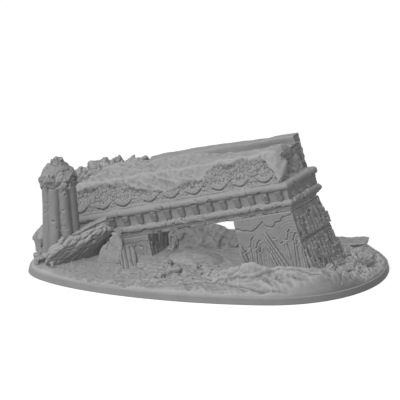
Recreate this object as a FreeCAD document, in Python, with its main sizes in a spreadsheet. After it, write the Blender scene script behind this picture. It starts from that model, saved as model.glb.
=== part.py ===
import FreeCAD, Part
import math
import os
import random

import Sketcher

# A tabletop terrain ruin: a temple front that sinks into the desert, on an oval plinth.
# It is a kit of cast stones. Each stone stands on the plinth or on the stone below, and the
# two piers and the column plug into the plinth with round spigots.
#
# Row frame, in millimetres: +Z up, +X along the plinth's long side, origin at the middle of
# the plinth's underside. The temple has a frame of its own, which is upright when the temple
# is: its origin is the front corner under the lintel, +X runs along the front to the right,
# +Y goes back and +Z up. temple_frame tilts and turns it into the row frame.

SIZES = [
    ("base_left", 90.5, "plinth, origin to its left end"),
    ("base_right", 90.5, "plinth, origin to its right end"),
    ("base_front", 58.5, "plinth, origin to its front edge"),
    ("base_back", 58.5, "plinth, origin to its back edge"),
    ("base_front_at", 30, "x of the foremost point of the plinth"),
    ("base_back_at", -4, "x of the rearmost point of the plinth"),
    ("base_left_at", -3, "y of the leftmost point of the plinth"),
    ("base_fullness", 1.7, "how full the plinth's front left quarter is, 2 for an ellipse"),
    ("base_right_at", 3, "y of the rightmost point of the plinth"),
    ("plinth_height", 3.5, "plinth thickness"),
    ("plinth_bevel", 0.8, "plinth's top edge inside its foot"),
    ("sand_height", 1.5, "sand skin on the plinth"),
    ("sand_inset", 1.2, "sand skin inside the plinth's top edge"),
    ("clearance", 0.3, "gap between stones that don't share a face"),
    ("fit_gap", 0.15, "radial gap of a spigot in its socket"),
    ("spigot_radius", 2.5, "spigots under the piers and the column"),
    ("spigot_length", 2.2, "depth of a spigot in the plinth"),
    ("temple_x", 41, "front corner under the lintel"),
    ("temple_y", -29.7, "front corner under the lintel"),
    ("temple_z", 41.6, "front corner under the lintel"),
    ("temple_turn", 27, "the front turns away at its left end, degrees"),
    ("temple_tilt", 16.4, "the temple sinks at its left end, degrees"),
    ("lintel_length", 124, "architrave along the front"),
    ("lintel_depth", 32, "architrave front to back"),
    ("lintel_height", 13.5, "architrave, soffit to roof"),
    ("bed_height", 1.5, "bed slab under the architrave"),
    ("bed_inset", 1.2, "bed slab behind the architrave's face"),
    ("torus_radius", 2, "both roll mouldings"),
    ("lower_torus_at", 2.9, "centre of the lower roll above the soffit"),
    ("upper_torus_at", 11.5, "centre of the upper roll above the soffit"),
    ("dentil_width", 3.8, "one dentil along the face"),
    ("dentil_depth", 1.2, "one dentil out of the face"),
    ("dentil_pitch", 8.13, "dentil to dentil"),
    ("dentil_first", 2.4, "corner to the centre of the first dentil"),
    ("front_dentils", 14, "dentils along the front"),
    ("end_dentils", 3, "dentils round the corner"),
    ("facing", 1.8, "carved facing on the piers"),
    ("batter", 0.11, "outward slope of the pier faces, mm per mm"),
    ("right_pier_width", 34.7, "right pier at its head"),
    ("right_pier_depth", 30.5, "right pier at its head"),
    ("left_pier_width", 19, "left pier at its head"),
    ("left_pier_depth", 28, "left pier at its head"),
    ("left_pier_at", 104, "corner to the left pier's outer edge"),
    ("course_height", 15, "upper course of the right pier"),
    ("wall_foot", 1.2, "parapet foot behind the architrave's face"),
    ("wall_thickness", 9, "parapet at its foot"),
    ("wall_height", 13.5, "parapet above the architrave"),
    ("wall_slope", 7.5, "how far the parapet's face leans back"),
    ("roof_back", 31, "back of the roof behind the face"),
    ("roof_end", 2.5, "broken end of the roof from the corner"),
    ("ridge_height", 4.4, "ridge slab above the roof block"),
    ("ridge_slope", 3, "how far the ridge slab's face leans back"),
    ("ridge_depth", 8.5, "ridge slab front to back"),
    ("ridge_length", 86, "ridge slab along the roof"),
    ("drift_height", 2.6, "sand drift on the roof, at its back"),
    ("drift_lip", 0.9, "sand drift on the roof, at the parapet"),
    ("drift_end", 3, "sand drift short of the roof's broken end"),
    ("column_x", -73, "column axis at the ground"),
    ("column_y", 8, "column axis at the ground"),
    ("column_lean", 3.4, "column leans to the left, degrees"),
    ("shaft_height", 39, "column shaft"),
    ("foot_radius", 7.6, "circle of the shaft's lobes at the foot"),
    ("head_radius", 6.3, "circle of the shaft's lobes at the head"),
    ("lobe_foot", 3.1, "one lobe at the foot"),
    ("lobe_head", 2.6, "one lobe at the head"),
    ("lobes", 8, "lobes round the shaft"),
    ("shaft_root", 3, "shaft below the plinth's top before it is cut level"),
    ("crown_height", 14, "broken crown of the column"),
    ("crown_radius", 9.3, "broken crown of the column"),
]

doc = FreeCAD.newDocument("sunken_temple_ruin")
sheet = doc.addObject("Spreadsheet::Sheet", "Sizes")
for row, (alias, number, meaning) in enumerate(SIZES, start=1):
    sheet.set(f"A{row}", meaning)
    sheet.set(f"B{row}", str(number))
    sheet.setAlias(f"B{row}", alias)
doc.recompute()

parts = []


class Measure:
    """A length or angle with its value and the spreadsheet formula that it comes from."""

    def __init__(self, value, text):
        self.value = value
        self.text = text

    def join(self, other, sign, result):
        text = other.text if isinstance(other, Measure) else repr(float(other))
        return Measure(result, f"({self.text} {sign} {text})")

    def __add__(self, other):
        return self.join(other, "+", self.value + number_of(other))

    def __sub__(self, other):
        return self.join(other, "-", self.value - number_of(other))

    def __mul__(self, other):
        return self.join(other, "*", self.value * number_of(other))

    def __neg__(self):
        return Measure(-self.value, f"(0 - {self.text})")


def number_of(measure):
    return measure.value if isinstance(measure, Measure) else float(measure)


def cell(alias):
    return Measure(float(sheet.get(alias)), f"Sizes.{alias}")


def val(alias):
    return cell(alias).value


def bind(thing, **properties):
    """Sets properties from measures, each with its formula."""
    for name, measure in properties.items():
        setattr(thing, name, number_of(measure))
        if isinstance(measure, Measure):
            thing.setExpression(name, measure.text)
    return thing


def new(kind, name, place=None, **properties):
    thing = bind(doc.addObject(kind, name), **properties)
    if place is not None:
        thing.Placement = place
    return thing


def at(x=0, y=0, z=0, axis=(0, 0, 1), angle=0):
    spot = FreeCAD.Vector(number_of(x), number_of(y), number_of(z))
    return FreeCAD.Placement(spot, FreeCAD.Rotation(FreeCAD.Vector(*axis), number_of(angle)))


def box(name, length, width, height, place):
    return new("Part::Box", name, place, Length=length, Width=width, Height=height)


def combine(kind, name, base, tool):
    made = doc.addObject(f"Part::{kind}", name)
    made.Base = base
    made.Tool = tool
    return made


def fuse(name, shapes):
    made = doc.addObject("Part::MultiFuse", name)
    made.Shapes = shapes
    return made


def sub_part(thing, label, place=None):
    """Names a finished piece, sets it in place and puts it on the list of parts."""
    thing.Label = label
    if place is not None:
        thing.Placement = place * thing.Placement
    parts.append(thing)
    return thing


def set_shape(label, shape):
    """A piece whose shape comes from Part's own functions."""
    thing = doc.addObject("Part::Feature", label + "_shape")
    thing.Shape = shape
    return sub_part(thing, label)


def prism(name, outline, length, place):
    """A body: an outline in its own YZ plane, padded along +X. Each corner is bound to the sheet."""
    body = doc.addObject("PartDesign::Body", name)
    plane = next(f for f in body.Origin.OriginFeatures if f.Role == "YZ_Plane")
    sketch = body.newObject("Sketcher::SketchObject", name + "_outline")
    sketch.AttachmentSupport = [(plane, "")]
    sketch.MapMode = "FlatFace"
    corners = [FreeCAD.Vector(number_of(y), number_of(z), 0) for y, z in outline]
    count = len(corners)
    for i in range(count):
        sketch.addGeometry(Part.LineSegment(corners[i], corners[(i + 1) % count]), False)
    for i in range(count):
        sketch.addConstraint(Sketcher.Constraint("Coincident", i, 2, (i + 1) % count, 1))
    for i, (y, z) in enumerate(outline):
        for way, measure in (("DistanceX", y), ("DistanceY", z)):
            rule = Sketcher.Constraint(way, -1, 1, i, 1, number_of(measure))
            index = sketch.addConstraint(rule)
            if isinstance(measure, Measure):
                sketch.setExpression(f"Constraints[{index}]", measure.text)
    pad = body.newObject("PartDesign::Pad", name + "_pad")
    pad.Profile = sketch
    bind(pad, Length=length)
    body.Placement = place
    return body


# The row frame's fixed heights and the temple's own frame.
plinth_top = cell("plinth_height")
ground_top = plinth_top + cell("sand_height")
temple_frame = FreeCAD.Placement(
    FreeCAD.Vector(val("temple_x"), val("temple_y"), val("temple_z")),
    FreeCAD.Rotation(FreeCAD.Vector(0, 0, 1), -val("temple_turn"))
    * FreeCAD.Rotation(FreeCAD.Vector(0, 1, 0), -val("temple_tilt")),
)


def in_temple(world):
    """A row-frame placement, given in the temple's frame."""
    return temple_frame.inverse() * world


def on_ground(temple_point):
    """Where a point of the temple, moved down its walls, meets the plinth's top, in the row frame."""
    top = temple_frame.multVec(temple_point)
    down = temple_frame.Rotation.multVec(FreeCAD.Vector(0, 0, -1))
    return top + down * ((top.z - plinth_top.value) / -down.z)


# ---------------------------------------------------------------- piers

VAST = 400.0  # a side of the blocks that only trim other pieces
PAST = 1.0  # how far such a block, or a spigot's root, runs past the faces that it meets

under_ground = new(
    "Part::Box",
    "under_plinth_top",
    in_temple(at(-VAST / 2, -VAST / 2, plinth_top - VAST)),
    Length=VAST,
    Width=VAST,
    Height=VAST,
)


def battered_block(name, left, right, front, back, head, drop, lean_left=0.0, lean_right=0.0):
    """A pier that starts head below the soffit and goes drop further down.

    Its front and back are battered. Its left and right sides are battered by their share."""
    spread = cell("batter") * drop
    return new(
        "Part::Wedge",
        name,
        # the wedge's own Y is turned to point down
        at(0, 0, -head, axis=(1, 0, 0), angle=-90),
        Xmin=left,
        Xmax=right,
        Zmin=front,
        Zmax=back,
        Ymin=0.0,
        Ymax=drop,
        X2min=left - spread * lean_left,
        X2max=right + spread * lean_right,
        Z2min=front - spread,
        Z2max=back + spread,
    )


def spigot(name, point):
    """A round spigot that stands in the plinth's socket, given in the temple's frame."""
    return new(
        "Part::Cylinder",
        name,
        in_temple(at(point.x, point.y, plinth_top - cell("spigot_length"))),
        Radius=cell("spigot_radius"),
        Height=cell("spigot_length") + PAST,
    )


bed = cell("bed_height")
pier_drop = cell("temple_z") * 1.1  # past the plinth's top, because the piers lean

right_left = -cell("right_pier_width")
pier_front = cell("bed_inset")
right_back = pier_front + cell("right_pier_depth")
right_right = -cell("bed_inset")
right_outer = battered_block(
    "right_pier_outer",
    right_left,
    right_right,
    pier_front,
    right_back,
    bed,
    pier_drop,
    lean_right=1.0,
)
right_block = combine("Cut", "right_pier_block", right_outer, under_ground)
behind_right_facing = battered_block(
    "behind_right_facing",
    right_left - VAST,
    right_right + VAST,
    pier_front + cell("facing"),
    right_back + VAST,
    bed - PAST,
    pier_drop + PAST * 2.0,
)
behind_end_facing = battered_block(
    "behind_end_facing",
    right_left - VAST,
    right_right - cell("facing"),
    pier_front - VAST,
    right_back + VAST,
    bed - PAST,
    pier_drop + PAST * 2.0,
    lean_right=1.0,
)
right_rear = combine("Common", "right_pier_rear", right_block, behind_right_facing)
right_core = combine("Common", "right_pier_core", right_rear, behind_end_facing)
end_facing = combine("Cut", "end_facing", right_rear, behind_end_facing)
upper_course = box(
    "upper_course_space",
    VAST,
    VAST,
    VAST,
    at(-VAST / 2, -VAST / 2, -bed - cell("course_height")),
)

sub_part(
    combine("Cut", "right_front_facing", right_block, behind_right_facing),
    "right_pier_front_relief",
    temple_frame,
)
sub_part(
    combine("Common", "right_upper", right_core, upper_course),
    "right_pier_upper_course",
    temple_frame,
)
right_foot = on_ground(
    FreeCAD.Vector((right_left.value + right_right.value) / 2, right_back.value / 2, 0)
)
right_spigot = spigot("right_spigot", right_foot)
sub_part(
    fuse(
        "right_lower",
        [combine("Cut", "right_lower_core", right_core, upper_course), right_spigot],
    ),
    "right_pier_lower_course",
    temple_frame,
)
sub_part(
    combine("Common", "end_upper", end_facing, upper_course),
    "end_wall_upper_relief",
    temple_frame,
)
sub_part(
    combine("Cut", "end_lower", end_facing, upper_course),
    "end_wall_lower_relief",
    temple_frame,
)

left_left = -cell("left_pier_at")
left_right = left_left + cell("left_pier_width")
left_back = pier_front + cell("left_pier_depth")
left_outer = battered_block(
    "left_pier_outer",
    left_left,
    left_right,
    pier_front,
    left_back,
    bed,
    pier_drop,
    lean_left=1.0,
)
left_block = combine("Cut", "left_pier_block", left_outer, under_ground)
behind_left_facing = battered_block(
    "behind_left_facing",
    left_left - VAST,
    left_right + VAST,
    pier_front + cell("facing"),
    left_back + VAST,
    bed - PAST,
    pier_drop + PAST * 2.0,
)
sub_part(
    combine("Cut", "left_front_facing", left_block, behind_left_facing),
    "left_pier_front_relief",
    temple_frame,
)
left_foot = on_ground(
    FreeCAD.Vector((left_left.value + left_right.value) / 2, left_back.value / 2, 0)
)
left_spigot = spigot("left_spigot", left_foot)
sub_part(
    fuse(
        "left_core",
        [combine("Common", "left_rear", left_block, behind_left_facing), left_spigot],
    ),
    "left_pier",
    temple_frame,
)

# ---------------------------------------------------------------- lintel

lintel_left = -cell("lintel_length")


def lintel_part(thing, label):
    """A stone of the lintel. Where the lintel sinks to the plinth it is cut level with its top."""
    level_cut = combine("Cut", label + "_above_ground", thing, under_ground)
    return sub_part(level_cut, label, temple_frame)


bed_slab = box(
    "bed_slab_box",
    cell("left_pier_at") + cell("bed_inset") * 2.0,
    cell("lintel_depth") - cell("bed_inset") * 2.0,
    bed,
    at(-cell("left_pier_at") - cell("bed_inset") * 3.0, cell("bed_inset"), -bed),
)
architrave = box(
    "architrave_box",
    cell("lintel_length"),
    cell("lintel_depth"),
    cell("lintel_height"),
    at(lintel_left, 0, 0),
)
buried = [lintel_part(bed_slab, "bed_slab"), lintel_part(architrave, "architrave")]
architrave_space = box(
    "architrave_space",
    cell("lintel_length") + PAST,
    cell("lintel_depth") + PAST,
    cell("lintel_height") + PAST * 2.0,
    at(lintel_left - PAST, 0, -PAST),
)


def roll_moulding(label, height):
    """A half-round roll along the front and round the corner along the end."""
    radius = cell("torus_radius")
    front = new(
        "Part::Cylinder",
        label + "_front",
        at(lintel_left, 0, height, axis=(0, 1, 0), angle=90),
        Radius=radius,
        Height=cell("lintel_length"),
    )
    end = new(
        "Part::Cylinder",
        label + "_end",
        at(0, 0, height, axis=(1, 0, 0), angle=-90),
        Radius=radius,
        Height=cell("lintel_depth"),
    )
    corner = new("Part::Sphere", label + "_corner", at(0, 0, height), Radius=radius)
    roll = fuse(label + "_roll", [front, end, corner])
    return lintel_part(combine("Cut", label + "_half", roll, architrave_space), label)


buried.append(roll_moulding("lower_torus", cell("lower_torus_at")))
roll_moulding("upper_torus", cell("upper_torus_at"))

dentil_foot = cell("lower_torus_at") + cell("torus_radius")
dentil_rise = cell("upper_torus_at") - cell("torus_radius") - dentil_foot
dentils = []
for i in range(int(val("front_dentils"))):
    middle = -(cell("dentil_first") + cell("dentil_pitch") * i)
    dentils.append(
        box(
            f"front_dentil_{i}",
            cell("dentil_width"),
            cell("dentil_depth"),
            dentil_rise,
            at(middle - cell("dentil_width") * 0.5, -cell("dentil_depth"), dentil_foot),
        )
    )
for i in range(int(val("end_dentils"))):
    middle = cell("dentil_first") + cell("dentil_pitch") * (i + 0.5)
    dentils.append(
        box(
            f"end_dentil_{i}",
            cell("dentil_depth"),
            cell("dentil_width"),
            dentil_rise,
            at(0, middle - cell("dentil_width") * 0.5, dentil_foot),
        )
    )
dentil_row = doc.addObject("Part::Compound", "dentil_row")
dentil_row.Links = dentils
sub_part(dentil_row, "dentils", temple_frame)

# ---------------------------------------------------------------- roof

roof_foot = cell("lintel_height")
wall_front = cell("wall_foot")
wall_head = roof_foot + cell("wall_height")
wall_top_front = wall_front + cell("wall_slope")
wall_back = wall_front + cell("wall_thickness")
roof_length = cell("lintel_length") - cell("roof_end")
roof_frame = temple_frame * at(lintel_left, 0, 0)

sub_part(
    prism(
        "parapet_body",
        [
            (wall_front, roof_foot),
            (wall_back, roof_foot),
            (wall_back, wall_head),
            (wall_top_front, wall_head),
        ],
        roof_length,
        roof_frame,
    ),
    "parapet_relief",
)
sub_part(
    prism(
        "roof_body",
        [
            (wall_back, roof_foot),
            (cell("roof_back"), roof_foot),
            (cell("roof_back"), wall_head),
            (wall_back, wall_head),
        ],
        roof_length,
        roof_frame,
    ),
    "roof_block",
)
ridge_front = cell("roof_back") - cell("ridge_depth")
drift_back = ridge_front - cell("clearance")
sub_part(
    prism(
        "drift_body",
        [
            (wall_top_front, wall_head),
            (drift_back, wall_head),
            (drift_back, wall_head + cell("drift_height")),
            (wall_top_front + cell("drift_lip"), wall_head + cell("drift_lip")),
        ],
        roof_length - cell("drift_end"),
        roof_frame,
    ),
    "roof_sand_drift",
)
ridge_length = cell("ridge_length")
sub_part(
    prism(
        "ridge_body",
        [
            (ridge_front, wall_head),
            (cell("roof_back"), wall_head),
            (cell("roof_back"), wall_head + cell("ridge_height")),
            (ridge_front + cell("ridge_slope"), wall_head + cell("ridge_height")),
        ],
        ridge_length,
        temple_frame * at(-cell("roof_end") - ridge_length, 0, 0),
    ),
    "ridge_slab",
)

# ---------------------------------------------------------------- column

column_frame = at(
    cell("column_x"), cell("column_y"), plinth_top, axis=(0, 1, 0), angle=-cell("column_lean")
)
level_cut = new(
    "Part::Box",
    "under_column",
    column_frame.inverse() * at(-VAST / 2, -VAST / 2, plinth_top - VAST),
    Length=VAST,
    Width=VAST,
    Height=VAST,
)
shaft_root = cell("shaft_root")
core = new(
    "Part::Cone",
    "shaft_core",
    at(0, 0, -shaft_root),
    Radius1=cell("foot_radius"),
    Radius2=cell("head_radius"),
    Height=cell("shaft_height") + shaft_root,
)
lobes = []
# each lobe leans in with the shaft's taper
lobe_lean = math.degrees(math.atan2(val("foot_radius") - val("head_radius"), val("shaft_height")))
for i in range(int(val("lobes"))):
    turn = 360.0 * (i + 0.5) / val("lobes")
    lobes.append(
        new(
            "Part::Cone",
            f"lobe_{i}",
            at(0, 0, -shaft_root, angle=turn)
            * at(cell("foot_radius"), axis=(0, 1, 0), angle=-lobe_lean),
            Radius1=cell("lobe_foot"),
            Radius2=cell("lobe_head"),
            Height=cell("shaft_height") + shaft_root * 2.0,
        )
    )
shaft_top_cut = box("above_shaft", VAST, VAST, VAST, at(-VAST / 2, -VAST / 2, cell("shaft_height")))
rough_shaft = fuse("rough_shaft", [core] + lobes)
headed_shaft = combine("Cut", "headed_shaft", rough_shaft, shaft_top_cut)
footed_shaft = combine("Cut", "footed_shaft", headed_shaft, level_cut)
column_spigot = new(
    "Part::Cylinder",
    "column_spigot",
    column_frame.inverse()
    * at(cell("column_x"), cell("column_y"), plinth_top - cell("spigot_length")),
    Radius=cell("spigot_radius"),
    Height=cell("spigot_length") + PAST,
)
sub_part(fuse("shaft", [footed_shaft, column_spigot]), "column_shaft", column_frame)

# ---------------------------------------------------------------- stones and rubble


def chip(shape, length, width, height, seed, chips, bite_depth):
    """Knocks corners and edges off a shape that stands on its middle, with planes."""
    draw = random.Random(seed)
    middle = FreeCAD.Vector(0, 0, height / 2)
    for i in range(chips):
        around = 2 * math.pi * (i + 0.6 * draw.random()) / chips
        way = FreeCAD.Vector(math.cos(around), math.sin(around), draw.uniform(0.1, 0.9))
        way.normalize()
        reach = (abs(way.x) * length + abs(way.y) * width + abs(way.z) * height) / 2
        bite = draw.uniform(bite_depth, bite_depth + 0.1) * reach
        cutter = Part.makeBox(VAST, VAST, VAST, FreeCAD.Vector(-VAST / 2, -VAST / 2, 0))
        cutter.Placement = FreeCAD.Placement(
            middle + way * bite, FreeCAD.Rotation(FreeCAD.Vector(0, 0, 1), way)
        )
        shape = shape.cut(cutter)
    return shape.removeSplitter()


def chipped_block(length, width, height, seed, chips=7):
    """A rough stone, made from a block that stands on its middle."""
    block = Part.makeBox(length, width, height, FreeCAD.Vector(-length / 2, -width / 2, 0))
    return chip(block, length, width, height, seed, chips, 0.70)


def seated(shape, place, floor, keep_out):
    """The stone in its place, cut flat where it sits and kept clear of its neighbours."""
    shape = shape.copy()
    shape.Placement = place * shape.Placement
    ground = Part.makeBox(VAST, VAST, VAST, FreeCAD.Vector(-VAST / 2, -VAST / 2, floor - VAST))
    shape = shape.cut(ground)
    for other in keep_out:
        shape = shape.cut(other)
    return max(shape.Solids, key=lambda solid: solid.Volume)


doc.recompute()
gap = val("clearance")
floor = ground_top.value

lintel_space = Part.makeBox(
    val("lintel_length") + val("torus_radius") + 2 * gap,
    val("lintel_depth") + val("torus_radius") + 2 * gap,
    val("bed_height") + val("lintel_height") + val("wall_height") + 2 * gap,
    FreeCAD.Vector(
        -val("lintel_length") - gap, -val("torus_radius") - gap, -val("bed_height") - gap
    ),
)
lintel_space.Placement = temple_frame


def pier_space(left, right, back, lean_left, lean_right):
    """A pier's outer shape with the clearance round it, in the row frame."""
    front = pier_front.value - gap
    drop = pier_drop.value
    spread = val("batter") * drop
    wedge = Part.makeWedge(
        left.value - gap,
        0,
        front,
        front - spread,
        left.value - gap - spread * lean_left,
        right.value + gap,
        drop,
        back.value + gap,
        back.value + gap + spread,
        right.value + gap + spread * lean_right,
    )
    wedge.Placement = temple_frame * at(0, 0, -val("bed_height"), (1, 0, 0), -90)
    return wedge


right_space = pier_space(right_left, right_right, right_back, 0, 1)
left_space = pier_space(left_left, left_right, left_back, 1, 0)
shaft_space = Part.makeCone(
    val("foot_radius") + val("lobe_foot") + gap,
    val("head_radius") + val("lobe_head") + gap,
    val("shaft_height") + val("shaft_root"),
    FreeCAD.Vector(0, 0, -val("shaft_root")),
)
shaft_space.Placement = column_frame
temple_sides = [lintel_space, right_space, left_space]

# The crown is a rough dome: three rings of a cone, with its sides knocked off.
crown_radius = val("crown_radius")
crown_height = val("crown_height")
head_radius = val("head_radius") + val("lobe_head")
crown_rings = [
    (0.0, head_radius),
    (0.3, crown_radius),
    (0.66, 0.76 * crown_radius),
    (1.0, 0.3 * crown_radius),
]
crown = None
for (low, low_radius), (high, high_radius) in zip(crown_rings, crown_rings[1:]):
    ring = Part.makeCone(
        low_radius,
        high_radius,
        (high - low) * crown_height,
        FreeCAD.Vector(0, 0, low * crown_height),
    )
    crown = ring if crown is None else crown.fuse(ring)
crown = chip(crown.removeSplitter(), 2 * crown_radius, 2 * crown_radius, crown_height, 3, 12, 0.84)
crown.Placement = column_frame * at(0, 0, val("shaft_height"))
set_shape("column_broken_crown", crown)


def stone(label, size, place, seed, keep_out, chips=7):
    shape = chipped_block(*size, seed, chips)
    return set_shape(label, seated(shape, place, floor, keep_out))


def stones(label, rows, keep_out):
    """A group of small stones in one piece, each (x, y, turn, length, width, height)."""
    made = []
    for i, (x, y, turn, *size) in enumerate(rows):
        shape = chipped_block(*size, seed=40 + i, chips=6)
        place = at(x, y, floor - 0.1 * size[2], angle=turn)
        made.append(seated(shape, place, floor, keep_out + made))
    return set_shape(label, Part.Compound(made))


def room_for(size, place):
    """The block that a stone of this size was chipped from, with the clearance round it."""
    length, width, height = (side + 2 * gap for side in size)
    block = Part.makeBox(length, width, height, FreeCAD.Vector(-length / 2, -width / 2, -gap))
    block.Placement = place
    return block


# The broken slab that leans on the lintel over the column's foot. It is placed by the middle
# of its raised front edge. A thinner layer of it lies behind, on its upper side.
slab_size = (41, 11, 5.5)
slab_place = (
    at(-63, -4.8, 12.1, angle=28)
    * at(axis=(0, 1, 0), angle=-21)
    * at(axis=(1, 0, 0), angle=-50)
    * at(0, slab_size[1] / 2, 0)
)
slab_keep_out = [lintel_space, left_space, shaft_space]
stone("fallen_slab", slab_size, slab_place, 5, slab_keep_out, 8)
layer_size = (30, 9, 2.2)
layer_place = slab_place * at(3, -1.4, slab_size[2])
stone("fallen_slab_upper_layer", layer_size, layer_place, 8, slab_keep_out, 8)
slab_room = room_for((slab_size[0], slab_size[1], slab_size[2] + layer_size[2]), slab_place)

# Blocks at the left pier's foot.
block_size = (13, 8, 15)
block_place = at(-49.5, 0.5, 3.5, angle=-14) * at(axis=(1, 0, 0), angle=-20)
stone("leaning_block", block_size, block_place, 12, [lintel_space, left_space, slab_room])
fragment_place = at(-39, -12.5, 3.4, angle=-10) * at(axis=(1, 0, 0), angle=-58)
fragment_keep_out = [left_space, lintel_space, room_for(block_size, block_place)]
stone("carved_fragment", (13, 3.2, 18), fragment_place, 9, fragment_keep_out, 8)

# Stones at the ends of the plinth. The ledge lies on a stone of its own.
stone("boulder_right", (9, 8.5, 6.5), at(78, -7, 4.5, angle=20), 21, temple_sides)
stone("ledge_rock_stand", (15, 9, 2), at(68, 21, 4.7, angle=10), 23, temple_sides)
ledge_foot = parts[-1].Shape.BoundBox.ZMax
ledge_shape = chipped_block(24, 13, 2.8, 31, 8)
set_shape(
    "ledge_rock",
    seated(ledge_shape, at(71, 20, ledge_foot, angle=-6), ledge_foot, temple_sides),
)
rear_place = at(-78.5, 19.5, 4.4, angle=15)
stone("rear_left_rock", (16, 12, 13), rear_place, 27, [shaft_space, lintel_space])

stones(
    "end_wall_rubble",
    [
        (58, -22, 20, 9, 7, 6),
        (63, -11.5, 70, 10, 8, 7),
        (67, 0, 40, 8, 7, 6),
        (68.5, -20.5, 10, 7, 6, 4.5),
        (59.5, -32.5, 35, 7, 5, 4),
        (71, -13.5, 15, 5, 4.5, 4),
        (68.5, 9.5, 5, 7, 6, 4.5),
        (64, -41, 60, 6, 5, 3),
    ],
    temple_sides,
)
stones(
    "front_rubble",
    [
        (-18, -20, 15, 9, 6, 4),
        (-8, -27, -20, 11, 6, 3.5),
        (0, -20, 10, 9, 6, 4.5),
        (-14, -34, 5, 9, 5, 3),
        (-25, -27, 60, 7, 5, 3),
        (-5, -12.5, 25, 8, 5, 3.5),
        (-21, -10.5, -30, 6, 5, 4.5),
    ],
    temple_sides,
)
stones(
    "column_foot_rubble",
    [
        (-84, -5, 20, 6, 4, 4),
        (-78.5, -9.5, 60, 6, 4.5, 3.5),
        (-86, 4.5, 80, 5, 3, 3),
    ],
    [shaft_space, slab_room],
)


def roof_stones(label, rows):
    """Broken stones that stand on the roof, in the temple's frame."""
    made = []
    for i, (x, y, turn, *size) in enumerate(rows):
        shape = chipped_block(*size, seed=70 + i, chips=6)
        shape.Placement = temple_frame * at(x, y, wall_head, angle=turn)
        for neighbour in made:
            shape = shape.cut(neighbour)
        made.append(max(shape.Solids, key=lambda solid: solid.Volume))
    return set_shape(label, Part.Compound(made))


ridge_left = -val("roof_end") - ridge_length.value
ridge_middle = val("roof_back") - val("ridge_depth") / 2
roof_stones(
    "ridge_stones",
    [
        (ridge_left - 4.5, ridge_middle, 8, 7.5, 8, 6.0),
        (ridge_left - 11.6, ridge_middle, 84, 8, 6.2, 6.6),
        (ridge_left - 18.4, ridge_middle, 5, 6.2, 7, 7.0),
        (ridge_left - 25.4, ridge_middle, -6, 6.8, 8, 8.6),
        (ridge_left - 32.3, ridge_middle, 4, 6, 7.5, 7.4),
    ],
)

# ---------------------------------------------------------------- ground


def quarter(centre_x, centre_y, to_x, to_y, start, fullness=2.0):
    """A quarter of an oval about a centre, from start degrees and a quarter turn on. A fullness
    of 2 makes an ellipse, and less makes a flatter curve."""
    across, along = abs(to_x), abs(to_y)
    points = []
    steps = 10
    for i in range(steps + 1):
        turn = math.radians(start + 90.0 * i / steps)
        east = math.copysign(abs(math.cos(turn)) ** (2.0 / fullness), math.cos(turn))
        north = math.copysign(abs(math.sin(turn)) ** (2.0 / fullness), math.sin(turn))
        points.append(FreeCAD.Vector(centre_x + across * east, centre_y + along * north, 0))
    return points


def outline(name, inset, z=0.0):
    """The plinth's outline: four quarter ovals that meet at its ends and sides. The one at the
    front left is flatter than an ellipse."""
    left, right = val("base_left") - inset, val("base_right") - inset
    front, back = val("base_front") - inset, val("base_back") - inset
    front_x, back_x = val("base_front_at"), val("base_back_at")
    left_y, right_y = val("base_left_at"), val("base_right_at")
    corners = (
        quarter(back_x, right_y, right - back_x, back - right_y, 0),
        quarter(back_x, left_y, left + back_x, back - left_y, 90),
        quarter(front_x, left_y, left + front_x, front + left_y, 180, val("base_fullness")),
        quarter(front_x, right_y, right - front_x, front + right_y, 270),
    )
    curve = Part.BSplineCurve()
    curve.interpolate([point for run in corners for point in run[:-1]], PeriodicFlag=True)
    thing = doc.addObject("Part::Feature", name)
    thing.Shape = Part.Wire(curve.toShape())
    thing.Placement = at(0, 0, z)
    return thing


def slab(name, low, high):
    """A solid between two level outlines."""
    made = doc.addObject("Part::Loft", name)
    made.Sections = [low, high]
    made.Solid = True
    made.Ruled = True
    return made


def socket(name, x, y):
    return new(
        "Part::Cylinder",
        name,
        at(x, y, plinth_top - cell("spigot_length") - cell("fit_gap")),
        Radius=cell("spigot_radius") + cell("fit_gap"),
        Height=cell("spigot_length") + PAST * 2.0,
    )


sockets = fuse(
    "sockets",
    [
        socket("right_socket", right_foot.x, right_foot.y),
        socket("left_socket", left_foot.x, left_foot.y),
        socket("column_socket", val("column_x"), val("column_y")),
    ],
)
bevel = val("plinth_bevel")
sand_edge = bevel + val("sand_inset")
plinth_slab = slab(
    "plinth_slab",
    outline("plinth_foot", 0),
    outline("plinth_head", bevel, plinth_top),
)
sub_part(combine("Cut", "plinth", plinth_slab, sockets), "base_plinth")
sand_slab = slab(
    "sand_slab",
    outline("sand_foot", sand_edge, plinth_top),
    outline("sand_head", sand_edge + val("sand_height"), ground_top),
)
standing = doc.addObject("Part::Feature", "standing_space")
standing.Shape = Part.Compound([right_space, left_space, shaft_space] + [b.Shape for b in buried])
sub_part(combine("Cut", "sand", sand_slab, standing), "ground_sand")


def mound(label, x, y, length, width, height, turn, keep_out):
    """A bank on the ground: the cap of an ellipsoid, cut away round its neighbours."""
    sink = 0.35 * height
    swell = FreeCAD.Matrix()
    swell.scale(FreeCAD.Vector(length / 2, width / 2, height + sink))
    shape = Part.makeSphere(1.0).transformGeometry(swell)
    shape = seated(shape, at(x, y, floor - sink, angle=turn), floor, keep_out)
    return set_shape(label, shape)


def shapes_of(*labels):
    return [piece.Shape for piece in parts if piece.Label in labels]


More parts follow.
